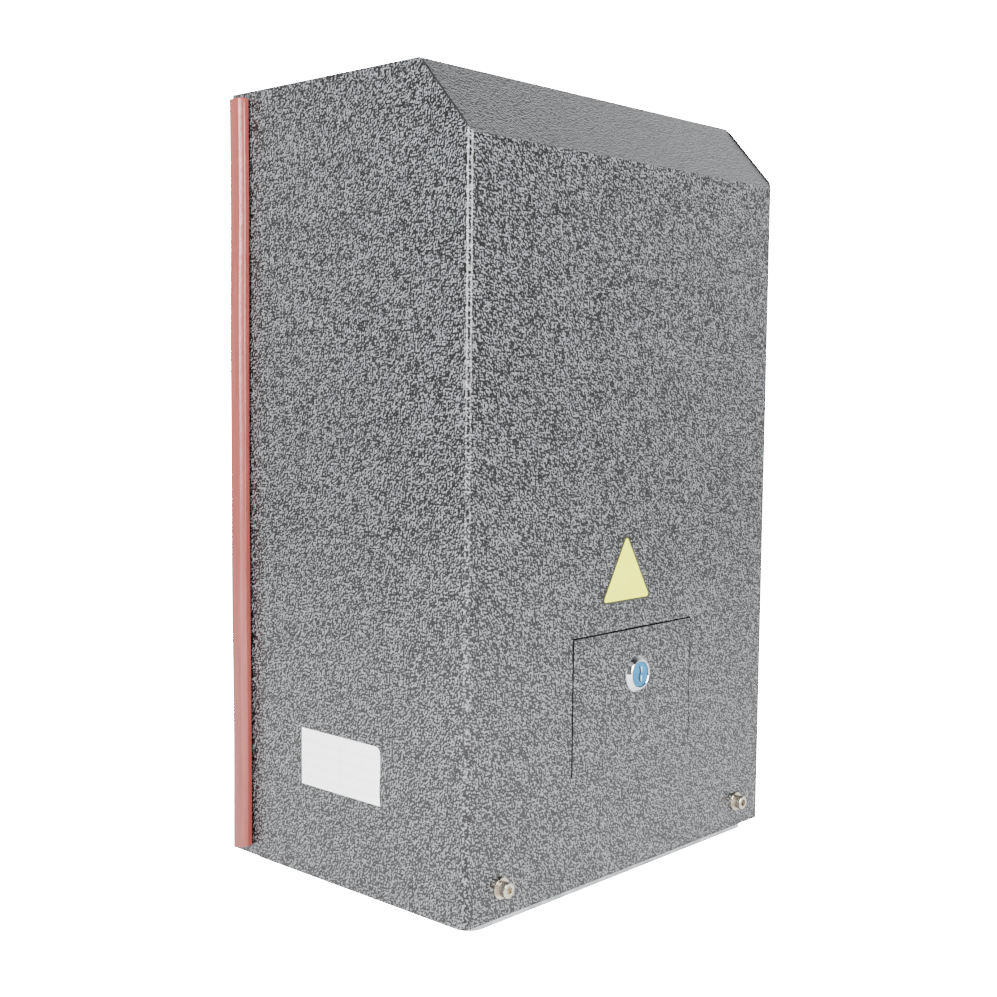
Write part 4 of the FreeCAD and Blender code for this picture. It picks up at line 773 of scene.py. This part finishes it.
class GATE_OT_spring(bpy.types.Operator):
    """Wind the clutch spring, which rides on the clutch"""
    bl_idname = "gate.spring"
    bl_label = "Clutch spring"
    bl_options = {"REGISTER", "UNDO"}

    def execute(self, context):
        settings = context.scene.gate_spring
        # oil-tempered wire: blue-black with a dull gloss
        steel = grained("oil_tempered_wire", ("3c3f43", "5f6265"), 0.8, (0.25, 0.4), 1.0, 0.01)
        low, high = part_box("clutch_spring")
        middle = (low + high) / 2
        wire = settings.wire
        coil_radius = (high.x - low.x) / 2 - wire
        length = high.y - low.y - 2 * wire
        steps = settings.turns * 40
        stations = []
        for i in range(steps + 1):
            angle = math.tau * settings.turns * i / steps
            outward = Vector((math.sin(angle), 0, math.cos(angle)))
            axis_point = Vector((middle.x, low.y + wire + length * i / steps, middle.z))
            stations.append((axis_point + outward * coil_radius,
                             wire * outward, wire * Vector((0, 1, 0))))
        coil = new_piece("clutch_coil", round_bar("clutch_coil", stations, 12), steel,
                         "clutch", 50)
        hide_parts("clutch_spring")
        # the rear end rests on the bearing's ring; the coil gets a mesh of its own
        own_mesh(coil)
        return {"FINISHED"}


class GATE_OT_stage(bpy.types.Operator):
    """Lay the pale floor, hang the softboxes and place the camera"""
    bl_idname = "gate.stage"
    bl_label = "Stage"
    bl_options = {"REGISTER", "UNDO"}

    def execute(self, context):
        scene = context.scene
        self.lay_floor(scene)
        self.light_room(scene)
        self.hang_softboxes(scene)
        self.place_camera(scene)
        return {"FINISHED"}

    def lay_floor(self, scene):
        """A lit table, far wider than the view, a hair under the plate."""
        half, level, steps = 40.0, -0.0003, 8

        def table_top(edit):
            lines = [half * (2 * i / steps - 1) for i in range(steps + 1)]
            grid = [[edit.verts.new((x, y, level)) for y in lines] for x in lines]
            for i in range(steps):
                for j in range(steps):
                    edit.faces.new([grid[i][j], grid[i + 1][j],
                                    grid[i + 1][j + 1], grid[i][j + 1]])

        floor = bpy.data.objects.new("floor", mesh_from("floor", table_top))
        scene.collection.objects.link(floor)
        floor.data.materials.append(opal_acrylic())

    def light_room(self, scene):
        """A white room, darker behind the camera and overhead, with a plain white backdrop."""
        settings = scene.gate_stage
        world = bpy.data.worlds.new("studio")
        scene.world = world
        world.use_nodes = True
        tree = world.node_tree
        tree.nodes.clear()
        direction = add(tree, "TexCoord").outputs["Generated"]
        dark = math.radians(DARK_BEARING)
        facing = add(tree, "VectorMath", {"operation": "DOT_PRODUCT"}, {
            0: direction, 1: (math.cos(dark), math.sin(dark), 0)})
        room = add(tree, "MapRange", inputs={
            "Value": facing.outputs["Value"], "From Min": -0.5, "From Max": 0.25,
            "To Min": settings.room, "To Max": settings.room * settings.dark_share})
        upward = add(tree, "SeparateXYZ", inputs={"Vector": direction}).outputs["Z"]
        ceiling = add(tree, "MapRange", inputs={
            "Value": upward, "From Min": 0.25, "From Max": 0.8,
            "To Min": 1.0, "To Max": settings.ceiling})
        dimmed = add(tree, "Math", {"operation": "MULTIPLY"}, {
            0: room.outputs["Result"], 1: ceiling.outputs["Result"]})
        seen = add(tree, "LightPath").outputs["Is Camera Ray"]
        # a number mix has its factor at input 0 and its two numbers at inputs 2 and 3
        strength = add(tree, "Mix", {"data_type": "FLOAT"}, {
            0: seen, 2: dimmed.outputs[0], 3: settings.backdrop})
        glow = add(tree, "Background", inputs={
            "Color": (1, 1, 1, 1), "Strength": strength.outputs[0]})
        add(tree, "OutputWorld", inputs={"Surface": glow.outputs["Background"]})

    def hang_softboxes(self, scene):
        """Three rectangular lights in a ring round the part, all turned to one point on it."""
        key = scene.gate_stage.key
        ring = 1.6
        target = Vector((0, 0, 0.36))
        # name, bearing, height, (width, length), power
        for name, bearing, height, size, power in (
            ("softbox_left", 192, 0.75, (0.8, 1.0), key),
            ("softbox_right", 260, 0.75, (0.8, 1.0), key * 0.85),
            ("softbox_top", 240, 2.2, (1.2, 1.2), key * 0.03),
        ):
            light = bpy.data.lights.new(name, "AREA")
            light.shape = "RECTANGLE"
            light.size, light.size_y = size
            light.energy = power
            lamp = bpy.data.objects.new(name, light)
            scene.collection.objects.link(lamp)
            angle = math.radians(bearing)
            lamp.location = (ring * math.cos(angle), ring * math.sin(angle), height)
            lamp.rotation_euler = (target - lamp.location).to_track_quat("-Z", "Y").to_euler()

    def place_camera(self, scene):
        """The view of the hood's left side and front."""
        settings = scene.gate_stage
        data = bpy.data.cameras.new("camera")
        data.lens = settings.lens
        data.sensor_width = 36
        data.clip_end = 100
        camera = bpy.data.objects.new("camera", data)
        scene.collection.objects.link(camera)
        scene.camera = camera
        turn = (
            Matrix.Rotation(-settings.heading, 4, "Z")
            @ Matrix.Rotation(math.pi / 2 - settings.tilt, 4, "X")
            @ Matrix.Rotation(settings.roll, 4, "Z")
        )
        stand = HOOD_LOW + Vector(settings.stand)
        camera.matrix_world = Matrix.Translation(stand) @ turn


class GATE_PT_panel(bpy.types.Panel):
    """Lists the operators and their settings."""
    bl_label = "Gate motor"
    bl_idname = "GATE_PT_panel"
    bl_space_type = "VIEW_3D"
    bl_region_type = "UI"
    bl_category = "Gate motor"

    def draw(self, context):
        for step in STEPS:
            self.layout.operator(step.bl_idname)
        for group, _ in SETTINGS:
            holder = getattr(context.scene, group)
            for name in holder.__annotations__:
                self.layout.prop(holder, name)


SETTINGS = (
    ("gate_hood", HoodSettings),
    ("gate_strip", StripSettings),
    ("gate_sticker", StickerSettings),
    ("gate_spring", SpringSettings),
    ("gate_stage", StageSettings),
)
STEPS = (
    GATE_OT_stage, GATE_OT_hood, GATE_OT_strips, GATE_OT_lock, GATE_OT_stickers, GATE_OT_plate,
    GATE_OT_machinery, GATE_OT_spring,
)


def register():
    for _, group in SETTINGS:
        bpy.utils.register_class(group)
    for step in STEPS:
        bpy.utils.register_class(step)
    bpy.utils.register_class(GATE_PT_panel)
    for name, group in SETTINGS:
        setattr(bpy.types.Scene, name, bpy.props.PointerProperty(type=group))


def unregister():
    for name, _ in SETTINGS:
        delattr(bpy.types.Scene, name)
    for item in (GATE_PT_panel, *STEPS, *(group for _, group in SETTINGS)):
        bpy.utils.unregister_class(item)


def main():
    register()
    for step in STEPS:
        group, name = step.bl_idname.split(".")
        getattr(getattr(bpy.ops, group), name)()


if __name__ == "__main__":
    main()
